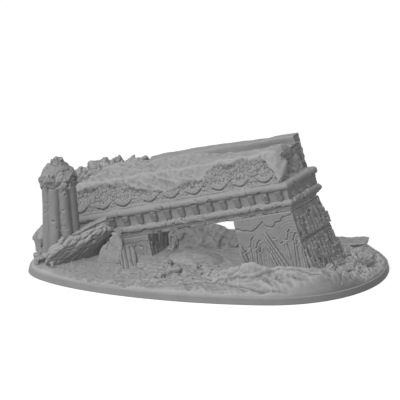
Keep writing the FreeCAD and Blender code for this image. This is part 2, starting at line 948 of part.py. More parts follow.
mound(
    "front_sand_bank",
    *(38, -36, 88, 40, 6.5, -12),
    temple_sides + shapes_of("end_wall_rubble", "front_rubble", "boulder_right"),
)
mound(
    "doorway_mound",
    *(-7, 3, 30, 26, 4.2, -27),
    temple_sides + shapes_of("front_rubble", "carved_fragment", "front_sand_bank"),
)
mound(
    "rear_rock_bank",
    *(-14, 34, 76, 26, 10, -14),
    temple_sides + shapes_of("doorway_mound"),
)
mound(
    "end_sand_bank",
    *(70, 12, 30, 50, 3.5, 5),
    temple_sides
    + shapes_of(
        "end_wall_rubble", "boulder_right", "ledge_rock", "ledge_rock_stand", "front_sand_bank"
    ),
)

# ---------------------------------------------------------------- write

doc.recompute()
for thing in doc.Objects:
    if "Invalid" in thing.State or "Error" in thing.State:
        raise RuntimeError(f"{thing.Label} failed: {thing.State}")
os.makedirs("parts", exist_ok=True)
for thing in parts:
    shape = thing.Shape
    if shape.isNull() or not shape.isValid() or not shape.Solids:
        raise RuntimeError(f"{thing.Label} has no valid solid")
    shape.exportStep(f"parts/{thing.Label}.step")
    print(f"{thing.Label}: {len(shape.Solids)} solids, {shape.Volume:.0f} mm3")
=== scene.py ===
"""A ruined temple front that sinks into desert sand, on an oval plinth: resin terrain for games."""
import math

import bmesh
import bpy
import numpy as np
from mathutils import Matrix, Vector
from mathutils.bvhtree import BVHTree


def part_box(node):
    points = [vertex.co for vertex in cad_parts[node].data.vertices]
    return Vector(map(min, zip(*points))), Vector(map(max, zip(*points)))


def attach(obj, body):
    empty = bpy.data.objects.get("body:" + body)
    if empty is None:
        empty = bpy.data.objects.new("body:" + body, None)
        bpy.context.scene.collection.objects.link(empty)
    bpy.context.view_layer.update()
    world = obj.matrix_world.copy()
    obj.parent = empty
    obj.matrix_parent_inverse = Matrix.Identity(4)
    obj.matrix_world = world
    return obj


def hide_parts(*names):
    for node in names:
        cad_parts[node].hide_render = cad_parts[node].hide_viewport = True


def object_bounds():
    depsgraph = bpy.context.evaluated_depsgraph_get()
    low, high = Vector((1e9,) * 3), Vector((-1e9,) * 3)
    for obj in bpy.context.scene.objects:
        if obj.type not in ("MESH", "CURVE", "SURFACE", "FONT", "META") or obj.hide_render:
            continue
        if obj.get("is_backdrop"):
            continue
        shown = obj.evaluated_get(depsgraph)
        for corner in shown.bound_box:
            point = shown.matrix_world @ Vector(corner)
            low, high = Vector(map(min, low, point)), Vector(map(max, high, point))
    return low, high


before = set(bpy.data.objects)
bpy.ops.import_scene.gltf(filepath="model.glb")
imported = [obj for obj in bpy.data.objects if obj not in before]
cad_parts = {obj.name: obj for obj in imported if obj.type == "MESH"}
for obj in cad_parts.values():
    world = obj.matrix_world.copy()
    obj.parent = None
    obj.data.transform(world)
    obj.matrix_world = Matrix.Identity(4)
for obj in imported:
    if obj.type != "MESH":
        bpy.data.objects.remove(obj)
cad_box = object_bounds()
scene = bpy.context.scene


# ------------------------------
# The table and the studio. The terrain stands on a pale table in an even room. A broad soft lamp
# at the front left casts the faint shadows, and a stronger one beside it casts none and gives
# most of the light. The camera is a long lens a little above the table.

class Level:
    """An output on its way through a material: sums on numbers add the Math nodes."""

    def __init__(self, finish, socket):
        self.finish = finish
        self.socket = socket

    def sum_node(self, operation, first, second):
        return self.finish.node("ShaderNodeMath", {0: first, 1: second}, operation=operation)

    def __add__(self, other):
        return self.sum_node("ADD", self, other)

    def __sub__(self, other):
        return self.sum_node("SUBTRACT", self, other)

    def __rsub__(self, other):
        return self.sum_node("SUBTRACT", other, self)

    def __mul__(self, other):
        return self.sum_node("MULTIPLY", self, other)

    def maximum(self, other):
        return self.sum_node("MAXIMUM", self, other)

    __radd__ = __add__
    __rmul__ = __mul__


class Finish:
    """A material, or the room's light, under construction."""

    def __init__(self, owner):
        owner.use_nodes = True
        self.owner = owner
        self.tree = owner.node_tree
        self.tree.nodes.clear()

    def node(self, kind, sockets=None, output=0, **settings):
        """adds a node and gives the output that is asked for"""
        made = self.tree.nodes.new(kind)
        for key, value in settings.items():
            setattr(made, key, value)
        for key, value in (sockets or {}).items():
            if isinstance(value, Level):
                self.tree.links.new(value.socket, made.inputs[key])
            else:
                made.inputs[key].default_value = value
        return Level(self, made.outputs[output]) if len(made.outputs) else None


def grey(shade):
    return (shade, shade, shade, 1.0)


def seen_itself(finish):
    """1 where the thing itself is seen, in a shine and through glass too; 0 for its light on others"""
    camera_ray, shine, through = (
        finish.node("ShaderNodeLightPath", output=f"Is {kind} Ray")
        for kind in ("Camera", "Glossy", "Transmission")
    )
    return camera_ray.maximum(shine).maximum(through)


ROOM_LIGHT = 0.20
TABLE_PAINT = 0.80
TABLE_GLOW = 0.42
TABLE_BOUNCE = 0.35
TABLE_HALF = 4.0
LIT_FROM = Vector((-0.46, -0.46, 0.76))
LENS = 1000.0
SENSOR = 36.0
SEEN_WIDTH = 0.200
ELEVATION = math.radians(17)
AIM = Vector((-0.0045, 0, 0.0369))

room = Finish(bpy.data.worlds.new("room"))
scene.world = room.owner
wall = room.node(
    "ShaderNodeMix", {0: seen_itself(room), 6: grey(ROOM_LIGHT), 7: grey(1.0)}, 2, data_type="RGBA"
)
backdrop = room.node("ShaderNodeBackground", {"Color": wall, "Strength": 1.0})
room.node("ShaderNodeOutputWorld", {"Surface": backdrop})

bpy.ops.mesh.primitive_plane_add(size=2 * TABLE_HALF, location=(0, 0, 0))
table = bpy.context.object
table.name = "table_top"
pale = Finish(bpy.data.materials.new("pale_table"))
paint = pale.node(
    "ShaderNodeBsdfPrincipled",
    {"Base Color": grey(TABLE_PAINT), "Roughness": 0.9, "Specular IOR Level": 0.0,
     "Emission Color": grey(TABLE_GLOW), "Emission Strength": 1.0},
)
plain = pale.node("ShaderNodeBsdfDiffuse", {"Color": grey(TABLE_BOUNCE)})
both = pale.node("ShaderNodeMixShader", {0: seen_itself(pale), 1: plain, 2: paint})
pale.node("ShaderNodeOutputMaterial", {"Surface": both})
table.data.materials.append(pale.owner)
table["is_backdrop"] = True

for name, strength, spread, shadow in (("broad_lamp", 0.50, 38, True), ("fill_lamp", 1.92, 60, False)):
    lamp = bpy.data.lights.new(name, "SUN")
    lamp.energy = strength
    lamp.angle = math.radians(spread)
    lamp.use_shadow = shadow
    lamp_holder = bpy.data.objects.new(name, lamp)
    lamp_holder.rotation_euler = LIT_FROM.to_track_quat("Z", "Y").to_euler()
    scene.collection.objects.link(lamp_holder)

lens = bpy.data.cameras.new("camera")
lens.lens = LENS
lens.sensor_width = SENSOR
lens.clip_end = 20
camera = bpy.data.objects.new("camera", lens)
reach = SEEN_WIDTH / SENSOR * LENS
camera.location = AIM + reach * Vector((0, -math.cos(ELEVATION), math.sin(ELEVATION)))
camera.rotation_euler = (math.pi / 2 - ELEVATION, 0, 0)
scene.collection.objects.link(camera)
scene.camera = camera
scene.view_settings.view_transform = "Standard"


# ------------------------------
# The plinth: a thin oval plate with an eased edge, cast in one with the rest in grey resin. The
# resin is matt, a little darker in its hollows as painted shade and lighter on crests as a painted
# highlight.

MM = 0.001


def resin(name, dark, light, grain, roughness):
    """Matt grey resin. The mesh says how hollow each point is in an attribute, which paints shade into
    the hollows and a highlight onto the crests.
    """
    made = Finish(bpy.data.materials.new(name))
    place = made.node("ShaderNodeTexCoord", output="Object")
    cloud = made.node("ShaderNodeTexNoise", {"Vector": place, "Scale": 160.0, "Detail": 3.0}, "Fac")
    speck = made.node("ShaderNodeTexNoise", {"Vector": place, "Scale": 1500.0, "Detail": 2.0}, "Fac")
    painted_shade_and_highlight = made.node("ShaderNodeAttribute", output="Fac", attribute_name="painted_shade_and_highlight")
    # painted shade: the colour is darker where a point is hollow, and a painted highlight makes it
    # lighter where it sticks out
    shade = 0.62 + (cloud - 0.5) * 0.35 + (speck - 0.5) * grain - painted_shade_and_highlight * 0.42
    tint = made.node("ShaderNodeMix", {0: shade, 6: grey(dark), 7: grey(light)}, 2, data_type="RGBA")
    tooth = made.node("ShaderNodeBump", {"Strength": 0.35, "Distance": 0.12 * MM, "Height": speck})
    body = made.node(
        "ShaderNodeBsdfPrincipled",
        {"Base Color": tint, "Roughness": roughness + (speck - 0.5) * 0.16, "Normal": tooth,
         "Specular IOR Level": 0.22},
    )
    made.node("ShaderNodeOutputMaterial", {"Surface": body})
    return made.owner


RESINS = {
    "plinth": resin("plinth_resin", dark=0.18, light=0.40, grain=0.10, roughness=0.62),
    "sand": resin("sand_resin", dark=0.18, light=0.44, grain=0.16, roughness=0.66),
    "masonry": resin("masonry_resin", dark=0.16, light=0.42, grain=0.18, roughness=0.64),
    "carved_masonry": resin("carving_resin", dark=0.12, light=0.41, grain=0.20, roughness=0.64),
    "rock": resin("rock_resin", dark=0.14, light=0.42, grain=0.22, roughness=0.68),
}


class Skin:
    """The surface of one piece, in mm: its points are pushed about, then it becomes the piece."""

    def __init__(self, mesh):
        self.mesh = mesh
        points = np.empty(len(mesh.vertices) * 3)
        mesh.vertices.foreach_get("co", points)
        self.points = points.reshape(-1, 3)
        edges = np.empty(len(mesh.edges) * 2, np.int32)
        mesh.edges.foreach_get("vertices", edges)
        self.edges = edges.reshape(-1, 2)
        self.turns = np.bincount(edges, minlength=len(self.points)).clip(1)

    def softened(self, rounds):
        """the points, drawn half way to the mean of their neighbours so many times"""
        one, other = self.edges.T
        points = self.points
        for _ in range(rounds):
            means = []
            for column in points.T:
                total = np.bincount(one, column[other], len(column))
                total += np.bincount(other, column[one], len(column))
                means.append(total / self.turns)
            points = 0.5 * (points + np.stack(means, 1))
        return points

    def ease(self, rounds=1):
        self.points = self.softened(rounds)
        return self

    def normals(self):
        self.mesh.vertices.foreach_set("co", self.points.ravel())
        self.mesh.update()
        out = np.empty(len(self.points) * 3, np.float32)
        self.mesh.vertex_normals.foreach_get("vector", out)
        return out.reshape(-1, 3).astype(float)

    def facing(self, way, low, high):
        """1 where the surface faces this way, 0 where it looks elsewhere"""
        return step_up(self.normals() @ way, low, high)

    def push(self, amount, way=None):
        way = self.normals() if way is None else way
        self.points = self.points + way * np.asarray(amount)[:, None]
        return self

    def become(self, name, slot, *nodes, depth=0.16):
        """finishes the piece, which stands for those CAD nodes; the depth is that of a hollow that gets
        the full painted shade
        """
        # how hollow each point is: painted shade in the hollows and a painted highlight on the crests
        hollow = ((self.softened(6) - self.points) * self.normals()).sum(1) / depth
        painted_shade_and_highlight = self.mesh.attributes.new("painted_shade_and_highlight", "FLOAT", "POINT")
        painted_shade_and_highlight.data.foreach_set("value", np.clip(hollow, -0.7, 1.4).astype(np.float32))
        self.mesh.vertices.foreach_set("co", (self.points * MM).ravel())
        self.mesh.polygons.foreach_set("use_smooth", np.ones(len(self.mesh.polygons), bool))
        self.mesh.materials.clear()
        self.mesh.materials.append(RESINS[slot])
        self.mesh.update()
        piece = bpy.data.objects.new(name, self.mesh)
        scene.collection.objects.link(piece)
        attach(piece, "root")
        if nodes:
            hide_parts(*nodes)
        return piece


def step_up(value, low, high):
    """0 below low, 1 above high and a smooth rise between"""
    share = np.clip((value - low) / (high - low), 0, 1)
    return share * share * (3 - 2 * share)


def tube_skin(name, rings):
    """a closed skin over a run of rings of points, with both ends capped"""
    count, width = rings.shape[:2]
    index = np.arange(count * width).reshape(count, width)
    ahead = np.roll(index, -1, 1)
    quads = np.stack([index[:-1], ahead[:-1], ahead[1:], index[1:]], -1).reshape(-1, 4).tolist()
    caps = [index[0][::-1].tolist(), index[-1].tolist()]
    mesh = bpy.data.meshes.new(name)
    mesh.from_pydata(rings.reshape(-1, 3).tolist(), [], quads + caps)
    mesh.update()
    return Skin(mesh)


def box_mm(node):
    """the low and the high corner of a CAD node, in millimetres"""
    return [np.array(corner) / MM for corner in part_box(node)]


def tree_over(node):
    """for rays against a CAD node"""
    return BVHTree.FromObject(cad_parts[node], bpy.context.evaluated_depsgraph_get())


def outline_radius(node, height, angles):
    """how far the node's edge is from the middle of the plinth, in mm, in each direction"""
    tree = tree_over(node)
    out = []
    for angle in angles:
        way = Vector((math.cos(angle), math.sin(angle), 0))
        hit = tree.ray_cast(Vector((0, 0, height * MM)) + way, -way)[0]
        out.append(hit.xy.length / MM)
    return np.array(out)


PLINTH_ROUND = 720
PLINTH_LEVELS = 15
RIM_EDGE = 0.35
INSIDE = 0.02
around_plinth = np.linspace(0, 2 * math.pi, PLINTH_ROUND, endpoint=False)
plinth_top = box_mm("base_plinth")[1][2]
rings = []
for share in np.linspace(0, 1, PLINTH_LEVELS):
    height = plinth_top * share
    cut_height = min(max(height, INSIDE), plinth_top - INSIDE)
    eased = max(0.0, RIM_EDGE - height, RIM_EDGE - (plinth_top - height))
    radius = outline_radius("base_plinth", cut_height, around_plinth) - 0.5 * eased ** 2 / RIM_EDGE
    rings.append(np.column_stack([
        radius * np.cos(around_plinth), radius * np.sin(around_plinth), np.full(PLINTH_ROUND, height)
    ]))
tube_skin("oval_plinth", np.stack(rings)).become("oval_plinth", "plinth", "base_plinth", depth=0.5)


# ------------------------------
# The sand: one skin over the plinth that joins the flat ground, the bank in front of the tall
# pier, the mound in the doorway and the bank at the end. Wind ripples run along the front, and
# broken paving lies under it between the piers.

TWIST = np.array([[0.36, 0.48, -0.80], [-0.80, 0.60, 0.00], [0.48, 0.64, 0.60]])


def chance(cell, seed):
    """a fixed random number from 0 to 1 for each whole-number place"""
    x, y, z = (cell[..., axis].astype(np.uint32) for axis in range(3))
    mixed = x * np.uint32(374761393) + y * np.uint32(668265263) + z * np.uint32(2246822519)
    mixed = mixed + np.uint32(seed * 40503 % 65536) * np.uint32(65539)
    mixed = (mixed ^ (mixed >> np.uint32(13))) * np.uint32(1274126177)
    mixed = (mixed ^ (mixed >> np.uint32(16))) * np.uint32(2654435769)
    return (mixed ^ (mixed >> np.uint32(15))).astype(float) / 4294967295.0


def swell(points, size, seed=0):
    """smooth hills and hollows of about this size, from -1 to 1"""
    place = points @ TWIST / size + 57.31
    cell = np.floor(place).astype(np.int64)
    part = place - cell
    part = part * part * part * (part * (part * 6 - 15) + 10)
    total = np.zeros(len(points))
    for corner in np.ndindex(2, 2, 2):
        step = np.array(corner)
        weight = np.where(step, part, 1 - part).prod(1)
        total += weight * chance(cell + step, seed)
    return total * 2 - 1


def rough(points, size, seed=0, layers=4, fade=0.5):
    """swells on swells, each half the size"""
    total = np.zeros(len(points))
    for layer in range(layers):
        total += fade ** layer * swell(points + 13.7 * layer, size / 2 ** layer, seed + layer)
    return total


def folds(points, size, seed=0, layers=3):
    """sharp crests between round hollows, from 0 to 1"""
    total = np.zeros(len(points))
    for layer in range(layers):
        total += 0.5 ** layer * (1 - abs(swell(points, size / 2 ** layer, seed + layer)) * 2)
    return total / 2 + 0.5


def cells(points, size, seed=0):
    """broken lumps: distance from the lump's middle and from its seam, a tilted face and a chance"""
    place = points / size + 31.7
    cell = np.floor(place).astype(np.int64)
    near = np.full(len(points), 9.0)
    second = near.copy()
    face = np.zeros(len(points))
    mark = np.zeros(len(points))
    for corner in np.ndindex(3, 3, 3):
        home = cell + np.array(corner) - 1
        away = place - (home + np.stack([chance(home, seed + k) for k in (1, 2, 3)], -1))
        far = np.sqrt((away ** 2).sum(1))
        tilt = np.stack([chance(home, seed + k) for k in (4, 5, 6)], -1) * 2 - 1
        closer = far < near
        second = np.where(closer, near, np.minimum(second, far))
        face = np.where(closer, (away * tilt).sum(1), face)
        mark = np.where(closer, chance(home, seed + 7), mark)
        near = np.where(closer, far, near)
    return near, second - near, face, mark


def crack(gap, width):
    """1 along the seams between broken lumps"""
    return step_up(width - gap, 0, width)


def xyz(x, y, z):
    return np.stack([x, y, z], 1)


def spot(middle, size, turn=0.0):
    """on the ground, 1 in the middle of an oval patch, falling to 0 outside it"""
    cos, sin = math.cos(math.radians(turn)), math.sin(math.radians(turn))
    along = ((ground_x - middle[0]) * cos + (ground_y - middle[1]) * sin) / size[0]
    beside = ((ground_y - middle[1]) * cos - (ground_x - middle[0]) * sin) / size[1]
    return np.exp(-(along ** 2 + beside ** 2))


DOWN = Vector((0, 0, -1))
ABOVE_ALL = 0.1
SAND_OVER_RIM = 1.1
GROUND_COLUMNS = 396
GROUND_ROWS = 236
across, up = np.meshgrid(np.linspace(-1, 1, GROUND_COLUMNS), np.linspace(-1, 1, GROUND_ROWS))
disc_x = across * np.sqrt(1 - up ** 2 / 2)
disc_y = up * np.sqrt(1 - across ** 2 / 2)
sand_low, sand_high = box_mm("ground_sand")
half = (sand_high - sand_low) / 2 + SAND_OVER_RIM
compass = np.linspace(-math.pi, math.pi, 721)
edge_radius = outline_radius("ground_sand", (sand_low[2] + sand_high[2]) / 2, compass) + SAND_OVER_RIM
oval_x, oval_y = disc_x * half[0], disc_y * half[1]
bearing = np.arctan2(oval_y, oval_x)
oval_edge = 1 / np.hypot(np.cos(bearing) / half[0], np.sin(bearing) / half[1])
stretch = np.interp(bearing, compass, edge_radius) / oval_edge
ground_x, ground_y = (oval_x * stretch).ravel(), (oval_y * stretch).ravel()
inward = (1 - np.hypot(disc_x, disc_y).ravel()) * half[1]

flat = xyz(ground_x, ground_y, np.zeros(len(ground_x)))
level = np.full(len(ground_x), sand_high[2])
for node, join in (("front_sand_bank", 0.4), ("doorway_mound", 1.6), ("end_sand_bank", 0.4)):
    tree = tree_over(node)
    bank = level.copy()
    low, high = box_mm(node)
    over = (ground_x > low[0]) & (ground_x < high[0]) & (ground_y > low[1]) & (ground_y < high[1])
    for place in np.flatnonzero(over):
        above = Vector((ground_x[place] * MM, ground_y[place] * MM, ABOVE_ALL))
        hit = tree.ray_cast(above, DOWN)[0]
        if hit:
            bank[place] = hit.z / MM
    raised = np.clip(bank - level, 0, None)
    level = level + raised ** 2 / (raised + join)

front = step_up(-ground_y, 22, 40)
drift = xyz(ground_x / 2.6, ground_y + 0.14 * ground_x, flat[:, 2])
bent = flat + 2.0 * xyz(swell(flat, 9, 12), swell(flat, 9, 13), 0 * ground_x)
ripples = folds(drift + bent - flat, 8.0, 5, 2) - 0.55
level += 0.45 * rough(flat, 24, 3, 3)
level += (0.35 + 0.65 * front) * (0.6 + 0.6 * step_up(ground_x, -45, 0)) * ripples
level += (0.30 + 0.70 * front) * 1.5 * (folds(bent, 9.0, 8, 3) - 0.5)

# a trough and two crests in the front bank, and a swell and a hollow behind them
level += -4.6 * spot((23, -32.5), (17, 3.6), -22)
level += 3.2 * (spot((38, -41.5), (22, 3.6), -14) + 0.7 * spot((20, -38), (9, 2.6), -8))
level += 2.2 * spot((3, -25), (6, 4.5)) - 2.4 * spot((15, -27), (6.5, 4))

# the broken paving, and the ledge that its front edge makes
PAVING_EDGE = [(-20, -45), (-7, -41), (5, -41), (22, -44), (27, -41.5), (38, -42), (47, -43),
               (58, -47), (70, -46)]
paving = spot((-14, -24), (26, 13), -8) + 0.8 * spot((8, -32), (14, 8))
_, _, face, mark = cells(flat, 4.6, 21)
level += paving.clip(0, 1) * (1.3 * face + 0.9 * (mark - 0.5) + 0.5 * folds(flat, 4, 23, 2))
brink = np.interp(ground_x, *zip(*PAVING_EDGE)) + rough(flat, 6, 25, 3) + 0.8 * folds(flat, 5, 27, 1)
on_paving = step_up(-24 - ground_y, 0, 12) * step_up(ground_x, -24, 2)
level += 1.1 * step_up(ground_y - brink, -0.5, 0.6) * on_paving

# the rubble and the hole at the right end
_, gap, face, mark = cells(flat, 3.4, 31)
level -= 1.2 * spot((82, -9), (6.5, 5))
rough_end = step_up(ground_x, 48, 62) * step_up(ground_y, -48, -20)
level += rough_end * (1.7 * (folds(bent, 5, 33, 3) - 0.5) + 0.35 * rough(flat, 2.4, 35, 2))
lumps = 1.2 * face + 1.2 * (mark - 0.4) - 0.7 * crack(gap, 0.2)
level += spot((68, -22), (13, 26), 14) * lumps

# the sand at the foot of the left pier and round the column
folded = 0.7 * (folds(bent, 5, 41, 3) - 0.5)
level += spot((-38, -12), (14, 8)) * folded - 1.0 * spot((-33, -12), (5, 3.5))
column_low, column_high = box_mm("column_shaft")
column_middle = (column_low + column_high)[:2] / 2
level += 1.2 * spot(column_middle, (13, 13)) * (1 + 0.4 * rough(flat, 5, 43))
level += 0.05 * rough(flat, 1.6, 11, 3)

SUNK = 0.2
LIP = 0.25
SHOULDER = 4.0
sand_foot = plinth_top - SUNK
lip = sand_foot + LIP
shoulder = np.sqrt(1 - (1 - np.clip(inward / SHOULDER, 0, 1)) ** 2)
level = lip + (level - lip) * shoulder
top = xyz(ground_x, ground_y, level)
index = np.arange(len(top)).reshape(GROUND_ROWS, GROUND_COLUMNS)
border = np.r_[index[0], index[1:, -1], index[-1, -2::-1], index[-2:0:-1, 0]]
skirt = top[border].copy()
skirt[:, 2] = sand_foot
quads = np.stack([index[:-1, :-1], index[:-1, 1:], index[1:, 1:], index[1:, :-1]], -1).reshape(-1, 4)
foot = len(top) + np.arange(len(border))
walls = np.stack([border, foot, np.roll(foot, -1), np.roll(border, -1)], 1)
ground_mesh = bpy.data.meshes.new("sand_ground")
ground_mesh.from_pydata(
    np.vstack([top, skirt]).tolist(), [], quads.tolist() + walls.tolist() + [foot[::-1].tolist()]
)
ground_mesh.update()
Skin(ground_mesh).become(
    "sand_ground", "sand", "ground_sand", "front_sand_bank", "doorway_mound", "end_sand_bank", depth=0.10
)


# ------------------------------
# The rocky bank behind the doorway: broken stone with shallow cracks between its lumps, half
# buried in the sand.

def voxel_skin(mesh, voxel):
    """one even, closed skin over the loose, overlapping solids of a mesh in millimetres"""
    holder = bpy.data.objects.new("solids", mesh)
    scene.collection.objects.link(holder)
    remesh = holder.modifiers.new("skin", "REMESH")
    remesh.mode = "VOXEL"
    remesh.voxel_size = voxel
    evaluated = holder.evaluated_get(bpy.context.evaluated_depsgraph_get())
    skin = Skin(bpy.data.meshes.new_from_object(evaluated))
    bpy.data.objects.remove(holder)
    bpy.data.meshes.remove(mesh)
    return skin


def skin_over(voxel, node):
    """one even, closed skin over a CAD node, ready for carving"""
    solid = bmesh.new()
    solid.from_mesh(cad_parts[node].data)
    bmesh.ops.remove_doubles(solid, verts=solid.verts, dist=1e-6)
    bmesh.ops.scale(solid, vec=(1 / MM,) * 3, verts=solid.verts)
    block = bpy.data.meshes.new("block")
    solid.to_mesh(block)
    solid.free()
    return voxel_skin(block, voxel)


def broken(skin, size, depth, seed, cracks=0.5, fine=0.12):
    """breaks the surface into tilted faces with cracks between them"""
    place = skin.points
    bent = place + 0.3 * size * np.stack([swell(place, size, seed + k) for k in (51, 52, 53)], 1)
    _, gap, face, mark = cells(bent, size, seed)
    lumps = depth * (face + 0.8 * (mark - 0.5)) - cracks * crack(gap, 0.14)
    return skin.push(lumps + fine * rough(place, size / 3, seed + 9, 3))


def worn(skin, seed, dents=0.2, fine=0.06, size=6.0):
    """a cut face after wind and sand have been at it"""
    place = skin.points
    return skin.push(dents * rough(place, size, seed, 3) + fine * rough(place, 1.3, seed + 5, 2))


def pits(points, size, seed, reach, amount):
    """1 in small round pits, which a share of the lumps of this size has"""
    near, _, _, mark = cells(points, size, seed)
    return step_up(reach - near, 0, 0.3) * (mark < amount)


def pitted(skin, size, depth, seed, amount=0.5):
    return skin.push(-depth * pits(skin.points, size, seed, 0.42, amount))


bank = skin_over(0.5, "rear_rock_bank")
bank.push(1.8 * (folds(bank.points, 8, 61, 2) - 0.4))
broken(bank, 4.6, 0.55, 62, cracks=0.25)
bank.ease().become("rear_bank_rock", "rock", "rear_rock_bank", depth=0.3)


# ------------------------------
# The left pier, at the sunk end: a plain block with a dark, split reveal to the doorway and a
# carved facing that has faint flowers below a plain band.

def unit(way):
    return way / np.linalg.norm(way)


def architrave_frame():
    """the lintel's own directions: along it to the right, into it, and up through it, with its corner"""
    corners = np.array([v.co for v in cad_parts["architrave"].data.vertices]) / MM
    corners = np.unique(corners.round(3), axis=0)
    corner = corners[corners[:, 1].argmin()]
    edges = corners - corner
    reach = np.sqrt((edges ** 2).sum(1))
    order = reach.argsort()
    rise, depth = edges[order[1]], edges[order[2]]
    along = np.cross(depth, rise)
    return [unit(way) for way in (along, depth, rise)] + [corner]


ALONG, INTO, RISE, CORNER = architrave_frame()


def on_lintel(points):
    """how far along to the left, into and up the lintel from its lower front right corner"""
    from_corner = points - CORNER
    return -(from_corner @ ALONG), from_corner @ INTO, from_corner @ RISE


def near_path(x, y, path):
    """distance from a path of a few points, and how far along it, from 0 to 1"""
    best = np.full(len(x), 99.0)
    share = np.zeros(len(x))
    runs = np.hypot(*np.diff(np.array(path, float), axis=0).T)
    gone = 0.0
    for (x0, y0), (x1, y1), run in zip(path[:-1], path[1:], runs):
        along = np.clip(((x - x0) * (x1 - x0) + (y - y0) * (y1 - y0)) / run ** 2, 0, 1)
        far = np.hypot(x - x0 - along * (x1 - x0), y - y0 - along * (y1 - y0))
        share = np.where(far < best, (gone + along * run) / runs.sum(), share)
        best = np.minimum(best, far)
        gone += run
    return best, share


def cut(x, y, path, width):
    """1 on the line of a chisel cut, 0 away from it; the cut fades at its ends"""
    far, share = near_path(x, y, path)
    ends = step_up(share, 0, 0.12) * step_up(1 - share, 0, 0.12)
    return np.exp(-(far / width) ** 2) * (0.35 + 0.65 * ends)


pier = skin_over(0.42, "left_pier")
place = pier.points
_, _, face, mark = cells(place * np.array([1, 1, 0.55]), 2.6, 71)
back = place[:, 1].max()
deep = step_up(place[:, 1], back - 8, back - 1)
reveal = pier.facing(ALONG, 0.4, 0.8) * (3.6 * deep * mark - 0.9 * mark - 0.6 * face)
pier.push(reveal + 0.10 * rough(place, 5, 72))
worn(pier, 73).become("left_pier_stone", "masonry", "left_pier", depth=0.25)

BATTERED_FRONT = unit(-INTO + 0.11 * RISE)
BAND_FOOT = -1.5
carving = skin_over(0.28, "left_pier_front_relief")
place = carving.points
side, _, rise = on_lintel(place)
x, d = side - side.min(), BAND_FOOT - rise
shape = 0.25 * step_up(2.6 - d + 0.3 * np.sin(x), 0, 0.25)
for flower in ([(4.0, 8.2), (4.2, 5.6), (6.4, 4.6)], [(7.6, 4.4), (9.2, 5.4), (9.4, 7.8)],
               [(12.0, 8.6), (12.2, 6.0), (14.0, 5.2)]):
    shape -= 0.45 * cut(x, d, flower, 0.45)
for stem in ([(4.4, 8.4), (6.6, 18)], [(9.4, 8.0), (10.4, 18)], [(12.6, 8.8), (13.6, 18)],
             [(2.0, 5.0), (3.4, 18)]):
    shape -= 0.40 * cut(x, d, stem, 0.4)
front = carving.facing(BATTERED_FRONT, 0.5, 0.85)
carving.push(front * (shape + 0.05 * rough(place, 2.2, 75)))
carving.become("left_pier_carving", "carved_masonry", "left_pier_front_relief", depth=0.14)


# ------------------------------
# The tall right pier: two courses of plain masonry behind carved facings. On the front, papyrus
# stems with hooked flowers stand below a broken edge of plaster, and two bundles of cords run
# across them.

for name, node, seed in (("right_pier_upper_stone", "right_pier_upper_course", 81),
                         ("right_pier_lower_stone", "right_pier_lower_course", 84)):
    course = skin_over(0.5, node)
    pitted(worn(course, seed, 0.25), 2.4, 0.4, seed + 1, 0.4)
    course.ease().become(name, "masonry", node, depth=0.25)

HOOKS = (
    [(25.3, 9.8), (27.0, 10.8), (27.8, 13.0), (28.1, 14.2), (29.4, 14.6)],
    [(21.2, 12.2), (22.7, 11.9), (24.2, 13.5), (24.9, 15.2), (25.9, 15.6)],
    [(22.7, 15.3), (23.2, 17.2), (24.1, 17.9)],
    [(4.0, 8.8), (5.4, 9.7), (6.1, 11.9), (6.6, 13.6), (7.9, 13.6)],
    [(-0.4, 11.6), (1.6, 11.3), (2.6, 12.4), (3.4, 14.2), (4.3, 14.9)],
    [(1.3, 14.9), (2.0, 16.7), (2.9, 16.8)],
    [(33.2, 17.1), (30.7, 15.8)],
    [(11.1, 15.1), (9.1, 14.7)],
    [(14.8, 11.8), (12.7, 12.3)],
)
STEMS = (
    [(28.3, 15.2), (28.3, 20.0), (27.6, 28.0)],
    [(25.3, 16.6), (25.8, 21.1), (25.7, 28.0)],
    [(23.4, 18.4), (24.0, 28.0)],
    [(7.3, 14.7), (6.9, 21.2), (6.1, 29.0)],
    [(3.3, 15.8), (4.5, 29.0)],
    [(1.9, 17.2), (2.6, 29.0)],
    [(-1.1, 17.2), (-0.2, 21.6), (-1.4, 34.0)],
    [(36.1, 10.5), (35.9, 18.9), (35.1, 29.0)],
    [(31.4, 18.0), (30.2, 29.0)],
)
CORDS = (
    [(18.9, 8.6), (8.9, 28.2)],
    [(19.3, 10.9), (10.9, 28.2)],
    [(18.6, 14.6), (12.9, 28.2)],
    [(17.8, 19.6), (14.9, 28.2)],
    [(35.3, 13.8), (31.4, 28.0)],
    [(35.9, 17.6), (33.0, 28.0)],
    [(34.2, 13.4), (31.0, 22.0)],
)
PLASTER = [(-3, -1.0), (1.5, 0.3), (5.0, 2.0), (6.8, 1.8), (8.6, 3.0), (11.5, 4.0), (13.9, 6.4),
           (17.5, 4.4), (18.6, 2.6), (22.6, 5.3), (25.3, 6.4), (29.0, 5.6), (33.0, 4.6), (39.0, 4.4)]

